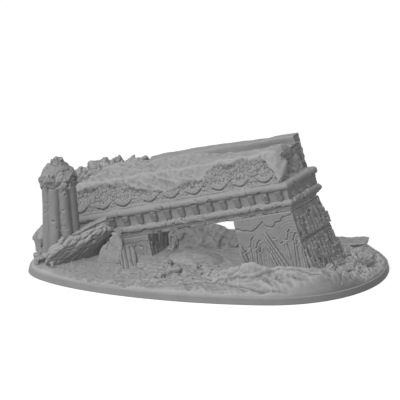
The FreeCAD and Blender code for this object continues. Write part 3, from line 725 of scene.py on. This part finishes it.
carving = skin_over(0.27, "right_pier_front_relief")
place = carving.points
side, _, rise = on_lintel(place)
d = BAND_FOOT - rise
front = carving.facing(BATTERED_FRONT, 0.5, 0.85)
edge = np.interp(side, *zip(*PLASTER)) + 0.55 * rough(place, 3.0, 91, 4, 0.6)
plaster = step_up(edge - d, -0.12, 0.12)
shape = 0.42 * plaster - 0.22 * np.exp(-((d - edge - 0.45) / 0.4) ** 2) * step_up(side, 4, 9)
carved = 1 - plaster
fan = np.sin(2 * math.pi * (side + 0.9 * np.sin(d / 6)) / 1.35)
arcs = np.sin(2 * math.pi * np.hypot(side - 3.5, d - 15.0) / 1.5)
crown = step_up(14.5 - d, 0, 3) * step_up(13 - side, 0, 3)
shape += carved * (0.10 * fan * step_up(d, 13, 17) + 0.06 * arcs * crown)
for path in HOOKS:
    shape -= carved * 0.8 * cut(side, d, path, 0.35)
    shape += carved * 0.40 * cut(side + 0.8, d - 0.3, path, 0.6)
for path in STEMS:
    shape -= carved * 0.75 * cut(side, d, path, 0.33)
    shape += carved * 0.22 * cut(side + 0.7, d, path, 0.45)
for path in CORDS:
    shape += carved * (0.80 * cut(side, d, path, 0.42) - 0.55 * cut(side + 0.95, d, path, 0.38))
shape += 0.07 * rough(place, 1.8, 93, 3)
carving.push(front * shape + (1 - front) * 0.1 * rough(place, 3, 94))
carving.become("right_pier_carving", "carved_masonry", "right_pier_front_relief", depth=0.14)


# ------------------------------
# The end wall: bundles of reeds carved deep into both courses, broken off here and there, with
# the joint of the courses between them. The reeds are scattered over it with Geometry Nodes.

COURSE_JOINT = -18.0
REED_PITCH = 1.9
for name, node, seed in (("end_wall_upper_ground", "end_wall_upper_relief", 101),
                         ("end_wall_lower_ground", "end_wall_lower_relief", 105)):
    backing = skin_over(0.30, node)
    place = backing.points
    _, into, rise = on_lintel(place)
    bend = 1.6 * swell(xyz(into, -0.15 * rise, 0 * rise), 2.4, seed + 1)
    bars = np.sin(2 * math.pi * into / REED_PITCH + bend)
    mark = cells(xyz(into, 0.2 * rise, 0 * rise), 1.6, seed + 2)[3]
    joint = np.exp(-((rise - COURSE_JOINT - 0.035 * (into - 15)) / 0.55) ** 2)
    shape = 0.35 * bars + 0.8 * (mark - 0.5) - 1.5 - 1.2 * joint
    backing.push(backing.facing(ALONG, 0.45, 0.8) * (shape + 0.12 * rough(place, 1.4, seed + 4)))
    backing.become(name, "carved_masonry", node, depth=0.22)


class Outputs:
    """the outputs of a Geometry Nodes node that are in use, by name or by number"""

    def __init__(self, node):
        self.used = [output for output in node.outputs if output.enabled]

    def __getitem__(self, key):
        if isinstance(key, int):
            return self.used[key]
        return next(output for output in self.used if output.name == key)


def new_tree(name, inputs):
    """a Geometry Nodes tree with these named inputs, and a short way to add its nodes"""
    tree = bpy.data.node_groups.new(name, "GeometryNodeTree")
    tree.interface.new_socket("Geometry", in_out="OUTPUT", socket_type="NodeSocketGeometry")
    for label, value in inputs.items():
        kind = {int: "NodeSocketInt", float: "NodeSocketFloat"}.get(type(value), "NodeSocketMaterial")
        tree.interface.new_socket(label, in_out="INPUT", socket_type=kind)

    def add(kind, settings=None, **sockets):
        made = tree.nodes.new(kind)
        for key, value in (settings or {}).items():
            setattr(made, key, value)
        for key, value in sockets.items():
            socket = made.inputs[key.replace("_", " ")]
            if isinstance(value, bpy.types.NodeSocket):
                tree.links.new(value, socket)
            else:
                socket.default_value = value
        return Outputs(made)

    return tree, tree.nodes.new("NodeGroupInput").outputs, add


def close_tree(name, tree, inputs, start, add, placed):
    """realizes the instances, gives them their material and returns the plain mesh"""
    real = add("GeometryNodeRealizeInstances", Geometry=placed)["Geometry"]
    coated = add("GeometryNodeSetMaterial", Geometry=real, Material=start["Material"])["Geometry"]
    tree.links.new(coated, tree.nodes.new("NodeGroupOutput").inputs[0])
    holder = bpy.data.objects.new(name, bpy.data.meshes.new(name))
    scene.collection.objects.link(holder)
    modifier = holder.modifiers.new(name, "NODES")
    modifier.node_group = tree
    for item in tree.interface.items_tree:
        if item.in_out == "INPUT":
            modifier[item.identifier] = inputs[item.name]
    evaluated = holder.evaluated_get(bpy.context.evaluated_depsgraph_get())
    mesh = bpy.data.meshes.new_from_object(evaluated)
    bpy.data.objects.remove(holder)
    return mesh


def scattered(name, inputs, shape, turns, sizes):
    """copies of a shape over a field, X across, Y up and Z out of it, by Geometry Nodes"""
    tree, start, add = new_tree(name, inputs)

    def chosen(low, high):
        made = add("FunctionNodeRandomValue", {"data_type": "FLOAT_VECTOR"}, Seed=start["Seed"])[0]
        made.node.inputs[0].default_value = low
        made.node.inputs[1].default_value = high
        return made

    field = add("GeometryNodeMeshGrid", Size_X=start["Width"], Size_Y=start["Height"],
                Vertices_X=2, Vertices_Y=2)["Mesh"]
    spread = add("GeometryNodeDistributePointsOnFaces", {"distribute_method": "POISSON"}, Mesh=field,
                 Distance_Min=start["Spacing"], Density_Max=start["Density"],
                 Seed=start["Seed"])["Points"]
    placed = add("GeometryNodeInstanceOnPoints", Points=spread, Instance=shape(start, add),
                 Rotation=chosen(*turns), Scale=chosen(*sizes))["Instances"]
    return close_tree(name, tree, inputs, start, add, placed)


def reed(start, add):
    """a tapered stalk of seven sides"""
    return add("GeometryNodeMeshCone", Vertices=7, Side_Segments=2, Radius_Top=start["Tip"],
               Radius_Bottom=start["Root"], Depth=start["Length"])["Mesh"]


def wall_plane(node):
    """the lean of an end wall course, its place at the lintel's foot, and its reach into and up"""
    course = skin_over(1.0, node)
    side, into, rise = on_lintel(course.points)
    outer = course.normals() @ ALONG > 0.8
    lean, start = np.polyfit(rise[outer], side[outer], 1)
    return lean, start, into[outer].min(), into[outer].max(), rise[outer].min(), rise[outer].max()


def lintel_place(side, into, rise):
    """the points that lie so far along to the left, into and up the lintel"""
    outer = np.multiply.outer
    return CORNER - outer(side, ALONG) + outer(into, INTO) + outer(rise, RISE)


REED = {"Spacing": 2.7, "Density": 0.5, "Tip": 0.42, "Root": 0.95, "Length": 9.5,
        "Material": RESINS["carved_masonry"]}
REED_TURNS = ((math.radians(82), -0.10, -0.09), (math.radians(98), 0.10, 0.09))
REED_SIZES = ((0.6, 0.6, 0.45), (1.25, 1.25, 1.35))
UNDER_THE_LEDGE = -1.0
for name, node, seed in (("upper_reed_bundle", "end_wall_upper_relief", 7),
                         ("lower_reed_bundle", "end_wall_lower_relief", 12)):
    lean, start, near_into, far_into, foot, head = wall_plane(node)
    head = min(head, UNDER_THE_LEDGE)
    width, height = float(far_into - near_into) - 1.0, float(head - foot) - 5.0
    field = {"Width": width, "Height": height, "Seed": seed}
    reeds = voxel_skin(scattered(name, field | REED, reed, REED_TURNS, REED_SIZES), 0.22)
    x, y, z = reeds.points.T
    rise = np.clip((foot + head) / 2 + y, foot + 0.7, head - 0.5)
    into = np.clip((near_into + far_into) / 2 + x * (1 - 0.006 * y), near_into + 0.2, far_into - 0.2)
    reeds.points = lintel_place(lean * rise + start - z - 0.5, into, rise)
    reeds.push(0.14 * rough(reeds.points, 1.8, seed))
    reeds.become(name, "carved_masonry", depth=0.2)


# ------------------------------
# The bed slab and the lintel: a thin ledge, the architrave on it, and a roll moulding along its
# foot and its head that turns the corner. The edges are chipped, and fine cracks cross the rolls.

def chipped(skin, size, depth, seed, amount=0.25):
    """knocks flat chips out of a share of the surface"""
    _, gap, face, mark = cells(skin.points, size, seed)
    chip = (mark < amount) * step_up(gap, 0.02, 0.25)
    return skin.push(-depth * chip * (0.7 + 0.5 * face))


ledge = skin_over(0.4, "bed_slab")
chipped(worn(ledge, 111, 0.3, 0.1, 5), 3.5, 0.9, 112, 0.45)
ledge.become("bed_ledge", "masonry", "bed_slab", depth=0.2)

frieze = skin_over(0.5, "architrave")
worn(frieze, 121, 0.18, 0.10, 5)
frieze.become("frieze", "masonry", "architrave", depth=0.2)

CRACKS_AT = (22.0, 66.0, 71.0, 97.0)
for name, node, seed, damage in (("lower_roll", "lower_torus", 131, 0.42),
                                 ("upper_roll", "upper_torus", 141, 0.16)):
    roll = skin_over(0.33, node)
    side, _, rise = on_lintel(roll.points)
    stretched = roll.points + 0.6 * side[:, None] * ALONG
    roll.push(0.20 * rough(stretched, 6, seed, 3))
    chipped(roll, 4.0, 0.75, seed + 1, damage)
    pitted(roll, 2.6, 0.5, seed + 3, 0.16)
    for at in CRACKS_AT:
        line = [(at, -9.0), (at + 0.8, 2.0), (at - 0.6, 5.0), (at + 1.0, 14.0)]
        roll.push(-0.5 * cut(side, rise, line, 0.35))
    roll.push(0.07 * rough(roll.points, 1.2, seed + 4, 2))
    roll.become(name, "masonry", node, depth=0.2)


# ------------------------------
# The dentils: fourteen small tabs with rounded feet along the frieze and three round the corner,
# hung under the upper roll. Sand has worn some of them away in part.

def tab_row(name, inputs):
    """a row of tabs along X, each a block over a round foot, made with Geometry Nodes"""
    tree, start, add = new_tree(name, inputs)

    def times(socket, factor):
        product = add("ShaderNodeMath", {"operation": "MULTIPLY"}, Value=socket)[0]
        product.node.inputs[1].default_value = factor
        return product

    size = add("ShaderNodeCombineXYZ", X=start["Width"], Y=start["Depth"], Z=start["Height"])["Vector"]
    block = add("GeometryNodeMeshCube", Size=size)["Mesh"]
    below = add("ShaderNodeCombineXYZ", Z=times(start["Height"], -0.5))["Vector"]
    foot = add("GeometryNodeMeshCylinder", Vertices=16, Radius=times(start["Width"], 0.5),
               Depth=start["Depth"])["Mesh"]
    foot = add("GeometryNodeTransform", Geometry=foot, Translation=below, Rotation=(math.pi / 2, 0, 0))
    join = tree.nodes.new("GeometryNodeJoinGeometry")
    tree.links.new(block, join.inputs[0])
    tree.links.new(foot["Geometry"], join.inputs[0])
    first = add("ShaderNodeCombineXYZ", X=start["First"])["Vector"]
    step = add("ShaderNodeCombineXYZ", X=start["Pitch"])["Vector"]
    line = add("GeometryNodeMeshLine", Count=start["Count"], Start_Location=first, Offset=step)["Mesh"]
    placed = add("GeometryNodeInstanceOnPoints", Points=line, Instance=join.outputs[0])["Instances"]
    return close_tree(name, tree, inputs, start, add, placed)


TAB = {"Width": 3.4, "Depth": 2.2, "Height": 3.6, "Pitch": 8.13, "Material": RESINS["masonry"]}
TAB_HEAD = 9.9
for name, inputs, turned, stands_for in (
    ("dentil_row", {"Count": 14, "First": 4.35}, False, ("dentils",)),
    ("dentils_at_the_end", {"Count": 3, "First": 6.0, "Depth": 1.2}, True, ()),
):
    tabs = voxel_skin(tab_row(name, TAB | inputs), 0.24)
    x, y, z = tabs.points.T
    lean = 0.32 * (z + TAB["Height"] / 2 + 0.6)
    rise = TAB_HEAD - TAB["Height"] / 2 + z
    tabs.points = lintel_place(y + lean, x, rise) if turned else lintel_place(x, y - lean, rise)
    pitted(chipped(tabs, 3.4, 0.3, 151, 0.2), 2.1, 0.3, 153, 0.15)
    tabs.push(0.07 * rough(tabs.points, 1.6, 155)).ease()
    tabs.become(name, "masonry", *stands_for, depth=0.2)


# ------------------------------
# The parapet: a wall that leans back over the upper roll, carved with hanging swags below rows of
# small feathers, most of it worn to a rough, pitted face.

PARAPET_FOOT = 13.5
PARAPET_RISE = 13.5
SWAG_PITCH = 13.6
wall = skin_over(0.30, "parapet_relief")
place = wall.points
side, _, rise = on_lintel(place)
up = rise - PARAPET_FOOT
front = wall.facing(unit(-INTO + 0.55 * RISE), 0.6, 0.9)
carved = step_up(up, 0.8, 2.2)
shape = 0.22 * rough(place, 4, 161) + 0.16 * rough(place, 1.1, 162, 2)
_, gap, face, mark = cells(place, 1.15, 163)
shape += carved * (0.45 * face + 0.5 * (mark - 0.6) - 0.5 * crack(gap, 0.18))
near, _, _, mark = cells(place, 1.8, 164)
shape -= carved * 0.6 * step_up(0.44 - near, 0, 0.25) * (mark < 0.5)
for swag in range(9):
    middle = 11.8 + SWAG_PITCH * swag + 0.9 * math.sin(2.3 * swag)
    sag = [(middle + 4.2 * t, 1.2 + (2.7 if t < 0 else 1.3) * t * t) for t in np.linspace(-1, 1, 11)]
    shape -= 0.95 * cut(side, up, sag, 0.36)
    body = step_up(1.6 - near_path(side, up - 1.5, sag)[0], 0, 0.9)
    shape = shape * (1 - 0.7 * body) + 0.55 * body
    for quill in range(6):
        foot_side = middle + SWAG_PITCH * (quill / 6 - 0.5)
        shape -= 0.6 * cut(side, up, [(foot_side, 4.4), (foot_side + 1.2, 12.5)], 0.30)
    for row in range(1, 5):
        half_width = 3.4 - 0.3 * row
        across = middle + (SWAG_PITCH / 2 if row % 2 else 0) + 0.8 * math.sin(5.1 * swag + row)
        arch_foot = 3.0 + 2.6 * row
        arch = [(across - half_width, arch_foot), (across, arch_foot - 1.0),
                (across + half_width, arch_foot + 0.1)]
        shape -= 0.7 * cut(side, up, arch, 0.42)
wall_end = wall.facing(ALONG, 0.4, 0.8)
wall.push(front * shape - wall_end * (2.4 + 1.0 * rough(place, 3, 168)))
wall.become("parapet_carving", "carved_masonry", "parapet_relief", depth=0.14)


# ------------------------------
# The roof: a mass of rock behind the parapet, split off at its right end in an upright, hollow
# break, a long smooth stone along its back, and a row of jagged stones beyond.

mass = skin_over(0.5, "roof_block")
place = mass.points
_, into, rise = on_lintel(place)
end = mass.facing(ALONG, 0.4, 0.8)
hollow = np.exp(-((into - 17) / 7) ** 2) * step_up(30 - rise, 0, 5)
strata = folds(xyz(into, 0.15 * rise, 0 * rise), 5.0, 171, 2)
mass.push(-end * (8.5 * hollow + 2.0 * strata + 0.3 * rough(place, 3, 172) - 0.8), ALONG[None, :])
broken(mass, 6.0, 0.22, 173, cracks=0.2)
mass.become("roof_rock", "masonry", "roof_block", depth=0.16)

RIDGE_LIFT = [(2, 0.3), (30, 0.8), (60, 1.9), (90, 1.2)]
ridge = skin_over(0.42, "ridge_slab")
place = ridge.points
side, into, rise = on_lintel(place)
foot, head = rise.min(), rise.max()
forward = 1 - step_up(into, into.min(), into.max())
lift = np.interp(side, *zip(*RIDGE_LIFT)) + 0.35 * rough(np.outer(side, ALONG), 12, 181, 3)
sink = 1.8 * forward * step_up(side, 20, 70)
ridge.push(step_up(rise, foot + 1.0, head - 0.3) * (lift - sink), RISE[None, :])
undercut = 2.6 * forward * (1 - step_up(rise, foot, head)) * (1 - step_up(side, 45, 85))
ridge.push(undercut, INTO[None, :])
stretched = ridge.points + 0.55 * side[:, None] * ALONG
torn_end = ridge.facing(ALONG, 0.4, 0.8) * 1.8 * folds(xyz(into, 0.2 * rise, 0 * rise), 3.0, 185, 2)
ridge.push(0.35 * rough(stretched, 7, 183, 3) - torn_end)
ridge.ease(2).become("ridge_stone", "rock", "ridge_slab", depth=0.3)

crags = skin_over(0.38, "ridge_stones")
place = crags.points
side, into, rise = on_lintel(place)
above = step_up(rise, rise.min() + 1.0, rise.max() - 0.5)
near, _, _, mark = cells(xyz(side, 0.5 * into, 0 * rise), 3.4, 190)
crags.push(above * (-0.8 + 4.6 * (0.6 - near).clip(0, 1) * (0.4 + mark)), RISE[None, :])
broken(crags, 5.5, 0.6, 191, cracks=0.3)
crags.push(0.9 * (folds(crags.points, 3.6, 192, 3) - 0.5))
crags.become("ridge_crags", "rock", "ridge_stones", depth=0.3)


def boulders(name, slot, voxel, seed, *lumps):
    """rounded lumps (middle, half sizes, turn about Z) run together and broken"""
    solid = bmesh.new()
    for middle, half_size, turn in lumps:
        made = bmesh.ops.create_icosphere(solid, subdivisions=3, radius=1.0)["verts"]
        bmesh.ops.scale(solid, vec=half_size, verts=made)
        spin = Matrix.Rotation(math.radians(turn), 3, "Z")
        bmesh.ops.rotate(solid, cent=(0, 0, 0), matrix=spin, verts=made)
        bmesh.ops.translate(solid, vec=middle, verts=made)
    mesh = bpy.data.meshes.new(name)
    solid.to_mesh(mesh)
    solid.free()
    lump = voxel_skin(mesh, voxel)
    near, _, _, mark = cells(lump.points * np.array([1, 1, 0.2]), 3.2, seed + 3)
    upward = lump.facing(RISE, 0.2, 0.8)
    lump.push(upward * 3.2 * (0.7 - near).clip(0, 1) * (0.4 + mark), RISE[None, :])
    broken(lump, 5.0, 1.0, seed, cracks=0.5)
    lump.push(0.9 * (folds(lump.points, 3.6, seed + 1, 3) - 0.5))
    lump.become(name, slot, depth=0.3)


pier_low, pier_high = box_mm("left_pier")
reveal_x, reveal_y, sand_z = pier_high[0], pier_low[1], sand_high[2]
boulders(
    "stones_at_the_reveal", "rock", 0.34, 197,
    ((reveal_x - 3.5, reveal_y + 14.5, sand_z + 2.6), (1.9, 2.4, 3.6), 15),
    ((reveal_x - 1.6, reveal_y + 20.5, sand_z + 2.4), (1.6, 2.2, 4.4), 35),
    ((reveal_x - 4.6, reveal_y + 11.0, sand_z + 0.8), (2.4, 2.2, 1.8), 0),
)
boulders(
    "roof_end_crags", "rock", 0.4, 195,
    (lintel_place(121.5, 14, 30.0), (4.5, 6.0, 4.4), 20),
    (lintel_place(116.5, 21, 31.0), (4.0, 6.5, 4.6), 10),
    (lintel_place(111.0, 24, 29.6), (5.0, 4.5, 3.6), 0),
    (lintel_place(106.0, 26, 31.0), (3.6, 4.0, 4.6), 30),
)


# ------------------------------
# The sand on the roof: blown up over the parapet from behind, it hangs down over the carving in
# an uneven edge and ends in a rounded nose at the right.

REACHES_DOWN_TO = [  # the share of the slope that is bare, along the lintel
    (0.5, -0.2), (3.6, -0.05), (6.5, 0.35), (10.0, 0.68), (14.0, 0.86), (31.8, 0.88), (41.8, 0.69),
    (50.2, 0.44), (64.5, 0.38), (67.3, 0.24), (81.5, 0.42), (94.2, 0.66), (110.0, 0.76), (122.6, 0.85),
]
ROOF_FROM, ROOF_TO = 0.9, 123.8
BURIED = 0.9
THINNEST, THICKEST = 0.35, 6
UNDERSIDE = 1.6
END_ROUND = 3.0
foot_into, crest_into, back_into = 1.2, 8.7, 25.5
slope = math.hypot(crest_into - foot_into, PARAPET_RISE)
side = np.arange(ROOF_FROM, ROOF_TO, 0.38)
run = np.linspace(0, slope + back_into - crest_into, 84)
sides, runs = np.meshgrid(side, run, indexing="ij")
climb = np.clip(runs / slope, 0, 1)
flatness = step_up(runs, slope - 2.5, slope + 2.5)
path_into = foot_into + (crest_into - foot_into) * climb + np.clip(runs - slope, 0, None)
path_rise = PARAPET_FOOT + PARAPET_RISE * climb
out_into = -(1 - flatness) * PARAPET_RISE / slope
out_rise = (1 - flatness) * (crest_into - foot_into) / slope + flatness
ground_place = xyz(sides.ravel(), runs.ravel(), 0 * runs.ravel())


def over_roof(values):
    return values.reshape(sides.shape)


covered = climb + 0.13 * over_roof(rough(ground_place, 7, 201, 5, 0.62))
covered = np.where(runs > slope, 1.0, covered - np.interp(sides, *zip(*REACHES_DOWN_TO)))
cover = step_up(covered, -0.05, 0.16)
body = 0.9 + 0.60 * over_roof(rough(ground_place, 11, 205, 3))
body += 1.2 * (over_roof(folds(ground_place, 11.0, 207, 2)) - 0.5)
body += 0.9 * step_up(sides, 30, 70) * (over_roof(folds(ground_place, 5.0, 208, 2)) - 0.5)
thin_back = 1.1 * step_up(runs, slope + 7, slope + 12) * (1 - step_up(sides, 30, 60))
body += 0.9 * step_up(runs, slope - 2, slope + 6) * (1 - thin_back)
body += 2.2 * step_up(sides, 35, 70) * step_up(runs, slope + 6, slope + 14)
body += 2.0 * step_up(sides, 84, 100) * step_up(runs, slope, slope + 10)
body += 0.5 * (over_roof(folds(ground_place, 3.4, 211, 2)) - 0.5) * np.exp(-((sides - 5) / 8) ** 2)
body += 2.0 * np.exp(-((sides - 7.5) / 4.5) ** 2) * np.exp(-((runs - slope * 0.7) / 9) ** 2)
thick = -BURIED + (body.clip(THINNEST, THICKEST) + BURIED) * cover
nose = sides + 2.4 * step_up(runs, 2, slope) * np.exp(-(sides - side[0]) / 12)
outer = np.stack([nose, path_into + out_into * thick, path_rise + out_rise * thick], -1)
inner = np.stack([nose, path_into - out_into * UNDERSIDE, path_rise - out_rise * UNDERSIDE], -1)[:, ::-1]
ring = np.concatenate([outer, inner], 1)
to_end = np.minimum(sides[:, 0] - side[0], side[-1] - sides[:, 0])
roundness = np.sqrt(1 - (1 - np.clip(to_end / END_ROUND, 0.01, 1)) ** 2)[:, None, None]
middle = ring.mean(1, keepdims=True)
ring[..., 1:] = middle[..., 1:] + (ring[..., 1:] - middle[..., 1:]) * roundness
roof_sand = tube_skin("roof_sand", lintel_place(*np.moveaxis(ring, -1, 0)))
roof_sand.ease().push(0.05 * rough(roof_sand.points, 1.6, 209, 2))
roof_sand.become("roof_sand", "sand", "roof_sand_drift", depth=0.12)


# ------------------------------
# The column: a bundle of eight stems, its plaster pitted in an upright strip and a few patches,
# with a rough broken top where the capital has gone.

shaft = skin_over(0.36, "column_shaft")
place = shaft.points
upright = place * np.array([1, 1, 0.25])
shaft.push(0.14 * rough(upright, 4, 211, 3))
low, high = place.min(0), place.max(0)
strip = np.exp(-((place[:, 0] - (low[0] + high[0]) / 2 - 0.4) / 1.8) ** 2)
strip = np.maximum(strip, step_up(0.30 - chance(np.floor(place / 7).astype(int), 5), 0, 0.1))
shaft.push(-0.6 * strip * pits(place, 1.7, 213, 0.48, 0.6))
shaft.become("column_stems", "masonry", "column_shaft", depth=0.3)

crown = skin_over(0.36, "column_broken_crown")
low, high = crown.points.min(0), crown.points.max(0)
height = step_up(crown.points[:, 2], low[2] + 4, high[2])
middle = (low + high) / 2
crown.points[:, :2] = middle[:2] + (crown.points[:, :2] - middle[:2]) * (1.02 - 0.34 * height)[:, None]
crown.push(1.5 * (folds(crown.points, 7.0, 221, 3) - 0.55))
broken(crown, 5.2, 0.9, 222, cracks=0.3)
pitted(crown, 2.6, 0.7, 223, 0.15)
crown.become("column_crown", "rock", "column_broken_crown", depth=0.3)


# ------------------------------
# The fallen slab: a torn piece of layered roof that leans on the lintel, with a thick, toothed
# front edge over a dark underside and a thinner layer still on its back.

def lofted(name, sections, voxel):
    """a closed skin over a run of sections, each a ring of points in millimetres"""
    hull = tube_skin(name, np.array(sections, float)).mesh
    solid = bmesh.new()
    solid.from_mesh(hull)
    bmesh.ops.recalc_face_normals(solid, faces=solid.faces)
    solid.to_mesh(hull)
    solid.free()
    return voxel_skin(hull, voxel)


slab_low, slab_high = box_mm("fallen_slab")
slab_size = slab_high - slab_low
SLAB_EDGE = [  # along the slab, foot and head of its torn front edge, as shares of the slab's box
    (-0.07, 0.05, 0.34), (0.03, 0.06, 0.62), (0.22, 0.24, 0.93), (0.37, 0.40, 0.93), (0.48, 0.53, 0.93),
    (0.63, 0.66, 1.05), (0.82, 0.96, 1.24), (0.93, 1.06, 1.18),
]
sections = []
for along, foot_share, head_share in SLAB_EDGE:
    x = slab_low[0] + along * slab_size[0]
    y = slab_low[1] - 0.6 + 13.5 * (along + 0.05)
    ground_z = slab_low[2]
    foot, head = (ground_z + share * slab_size[2] for share in (foot_share, head_share))
    behind = y + 0.95 * (foot - ground_z)
    sections.append([
        (x, y, foot), (x + 0.3, y - 0.3, (foot + head) / 2), (x - 0.6, y + 1.2, head),
        (x - 0.6, y + 5.5, head - 0.3), (x + 2.0, behind + 6.0, ground_z), (x + 1.5, behind, ground_z),
    ])
slab = lofted("slab", sections, 0.38)
place = slab.points
slope_way = np.array([0.80, 0.30, 0.52])
across_way = np.array([-0.54, 0.0, 0.84])
layered = xyz(0.30 * (place @ slope_way), 1.25 * (place @ across_way), 0.8 * place[:, 1])
_, gap, face, mark = cells(layered, 2.6, 231)
open_faces = 1 - 0.6 * slab.facing(np.array([0.3, -0.2, -0.9]), 0.1, 0.5)
slab.push((0.9 * face + 1.5 * (mark - 0.5) - 0.9 * crack(gap, 0.16)) * open_faces)
slab.push(1.1 * (folds(layered, 4.2, 233, 2) - 0.55) * open_faces)
pitted(slab, 4.6, 1.7, 234, 0.32)
slab.ease().become("fallen_roof_slab", "rock", "fallen_slab", depth=0.17)

layer_low, layer_high = box_mm("fallen_slab_upper_layer")
layer_size = layer_high - layer_low
sections = []
for along, rise_share in ((0.25, 0.80), (0.45, 0.95), (0.70, 1.15), (0.95, 1.30), (1.08, 1.38)):
    x, y, z = layer_low + np.array([along, 0.15 + 0.45 * along, rise_share]) * layer_size
    thick = 1.9 - 1.0 * max(0, along - 0.6)
    sections.append([
        (x, y, z - thick), (x - 0.3, y - 0.2, z - 0.4), (x, y + 1.0, z), (x, y + 6, z - 0.4),
        (x, y + 6, z - thick),
    ])
layer = lofted("layer", sections, 0.34)
worn(layer, 237, 0.35, 0.10, 3.5).ease()
layer.become("fallen_slab_layer", "rock", "fallen_slab_upper_layer", depth=0.25)


# ------------------------------
# The loose stones: a plain leaning block, the carved fragment at its side, the flat stone and the
# boulder at the right, the overhanging stone behind the column, and three heaps of rubble.

block = skin_over(0.36, "leaning_block")
low, high = block.points.min(0), block.points.max(0)
upward = (block.points[:, 2] - low[2]) / (high[2] - low[2])
middle_x = (low[0] + high[0]) / 2 + 1.2
block.points[:, 0] = middle_x + (block.points[:, 0] - middle_x) * (0.92 - 0.28 * upward) + 1.6 * upward
broken(block.ease(4), 9.0, 0.6, 240, cracks=0.0)
worn(block, 241, 0.35, 0.08, 5).become("leaning_block_stone", "rock", "leaning_block", depth=0.25)

fragment = skin_over(0.30, "carved_fragment")
place = fragment.points
facing = fragment.facing(np.array([0.0, -1.0, 0.25]), 0.55, 0.85)
low, high = place.min(0), place.max(0)
middle = (low + high) / 2
place[:, 1] += 0.75 * (place[:, 0] - middle[0])
taper = 0.62 - 0.22 * np.abs((place[:, 2] - low[2]) / (high[2] - low[2]) - 0.55)
place[:, 0] = middle[0] + 0.4 + (place[:, 0] - middle[0]) * taper
place[:, 0] += -3.0 - 0.45 * (place[:, 2] - middle[2])
place[:, 2] -= 1.0
x, z = place[:, 0] - low[0], place[:, 2] - low[2]
shape = 0.08 * rough(place, 2.0, 252)
for stem in range(5):
    shape -= 0.6 * cut(x, z, [(1.2 + 2.1 * stem, 8.6), (3.6 + 2.3 * stem, -1.0)], 0.4)
fragment.push(facing * shape)
worn(fragment, 254, 0.2, 0.05, 4)
fragment.become("carved_fragment_stone", "carved_masonry", "carved_fragment", depth=0.2)

for name, node, seed, size, depth, shrink in (
    ("right_boulder", "boulder_right", 261, 5.0, 0.25, (0.78, 0.8, 0.9)),
    ("ledge_stone_foot", "ledge_rock_stand", 265, 3.5, 0.6, (1, 1, 1)),
    ("overhanging_stone", "rear_left_rock", 267, 4.5, 1.0, (1, 1, 1)),
    ("end_wall_rubble_heap", "end_wall_rubble", 269, 2.6, 0.6, (1, 1, 0.8)),
    ("front_rubble_heap", "front_rubble", 271, 3.0, 0.6, (1, 1, 0.8)),
    ("column_foot_rubble_heap", "column_foot_rubble", 273, 2.6, 0.5, (1, 1, 0.9)),
):
    stones = skin_over(0.36, node)
    low, high = stones.points.min(0), stones.points.max(0)
    foot = np.array([(low[0] + high[0]) / 2, (low[1] + high[1]) / 2, low[2]])
    stones.points = foot + (stones.points - foot) * np.array(shrink)
    stones.ease(4).push(1.2 * (folds(stones.points, 5, seed + 4, 3) - 0.5))
    broken(stones, size + 1.5, depth, seed, cracks=0.3, fine=0.15)
    stones.ease().become(name, "rock", node, depth=0.3)

flat_stone = skin_over(0.34, "ledge_rock")
place = flat_stone.points
low, high = place.min(0), place.max(0)
along = (place[:, 0] - low[0]) / (high[0] - low[0])
under = 1 - step_up(place[:, 2], low[2], high[2])
flat_stone.points[:, 2] += under * 2.2 * step_up(along, 0.4, 1.0) + 0.9 * along - 0.3
flat_stone.points[:, 1] += 1.5 * under * step_up(along, 0.2, 0.6)
flat_stone.ease(3).push(0.5 * (folds(place * np.array([0.5, 1, 1]), 3.2, 263, 3) - 0.5))
worn(flat_stone, 264, 0.4, 0.1, 5).become("flat_ledge_stone", "rock", "ledge_rock", depth=0.25)


# ------------------------------
# The grit: small stones strewn over the ground at the right end, between the piers and round the
# column, half sunk in the sand. They are scattered with Geometry Nodes.

def small_stone(start, add):
    """a rounded stone of a few dozen faces"""
    return add("GeometryNodeMeshIcoSphere", Radius=start["Radius"], Subdivisions=2)["Mesh"]


OUT_OF_THE_SAND = 0.1
STONE_TURNS = ((0, 0, 0), (3.1, 3.1, 3.1))
STONE_SIZES = ((0.45, 0.45, 0.35), (1.5, 1.1, 0.9))
ground_tree = BVHTree.FromPolygons(top.tolist(), quads.tolist())
for name, middle, width, height, spacing, seed in (
    ("grit_at_the_right", (67, -18), 24, 22, 3.0, 3),
    ("grit_in_the_doorway", (-6, -24), 44, 12, 3.2, 5),
    ("grit_at_the_column", (-72, -6), 20, 16, 2.2, 8),
):
    field = {"Width": float(width), "Height": float(height), "Spacing": spacing, "Density": 1.0,
             "Seed": seed, "Radius": 0.55, "Material": RESINS["rock"]}
    stones = Skin(scattered(name, field, small_stone, STONE_TURNS, STONE_SIZES))
    stones.points[:, :2] += middle
    for point in stones.points:
        hit = ground_tree.ray_cast(Vector((point[0], point[1], ABOVE_ALL / MM)), DOWN)[0]
        point[2] += OUT_OF_THE_SAND + (hit.z if hit else 0.0)
    stones.push(0.10 * rough(stones.points, 0.9, seed + 280)).become(name, "rock", depth=0.1)

low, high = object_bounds()
size = {"cad": [list(corner) for corner in cad_box], "visual": [list(low), list(high)]}
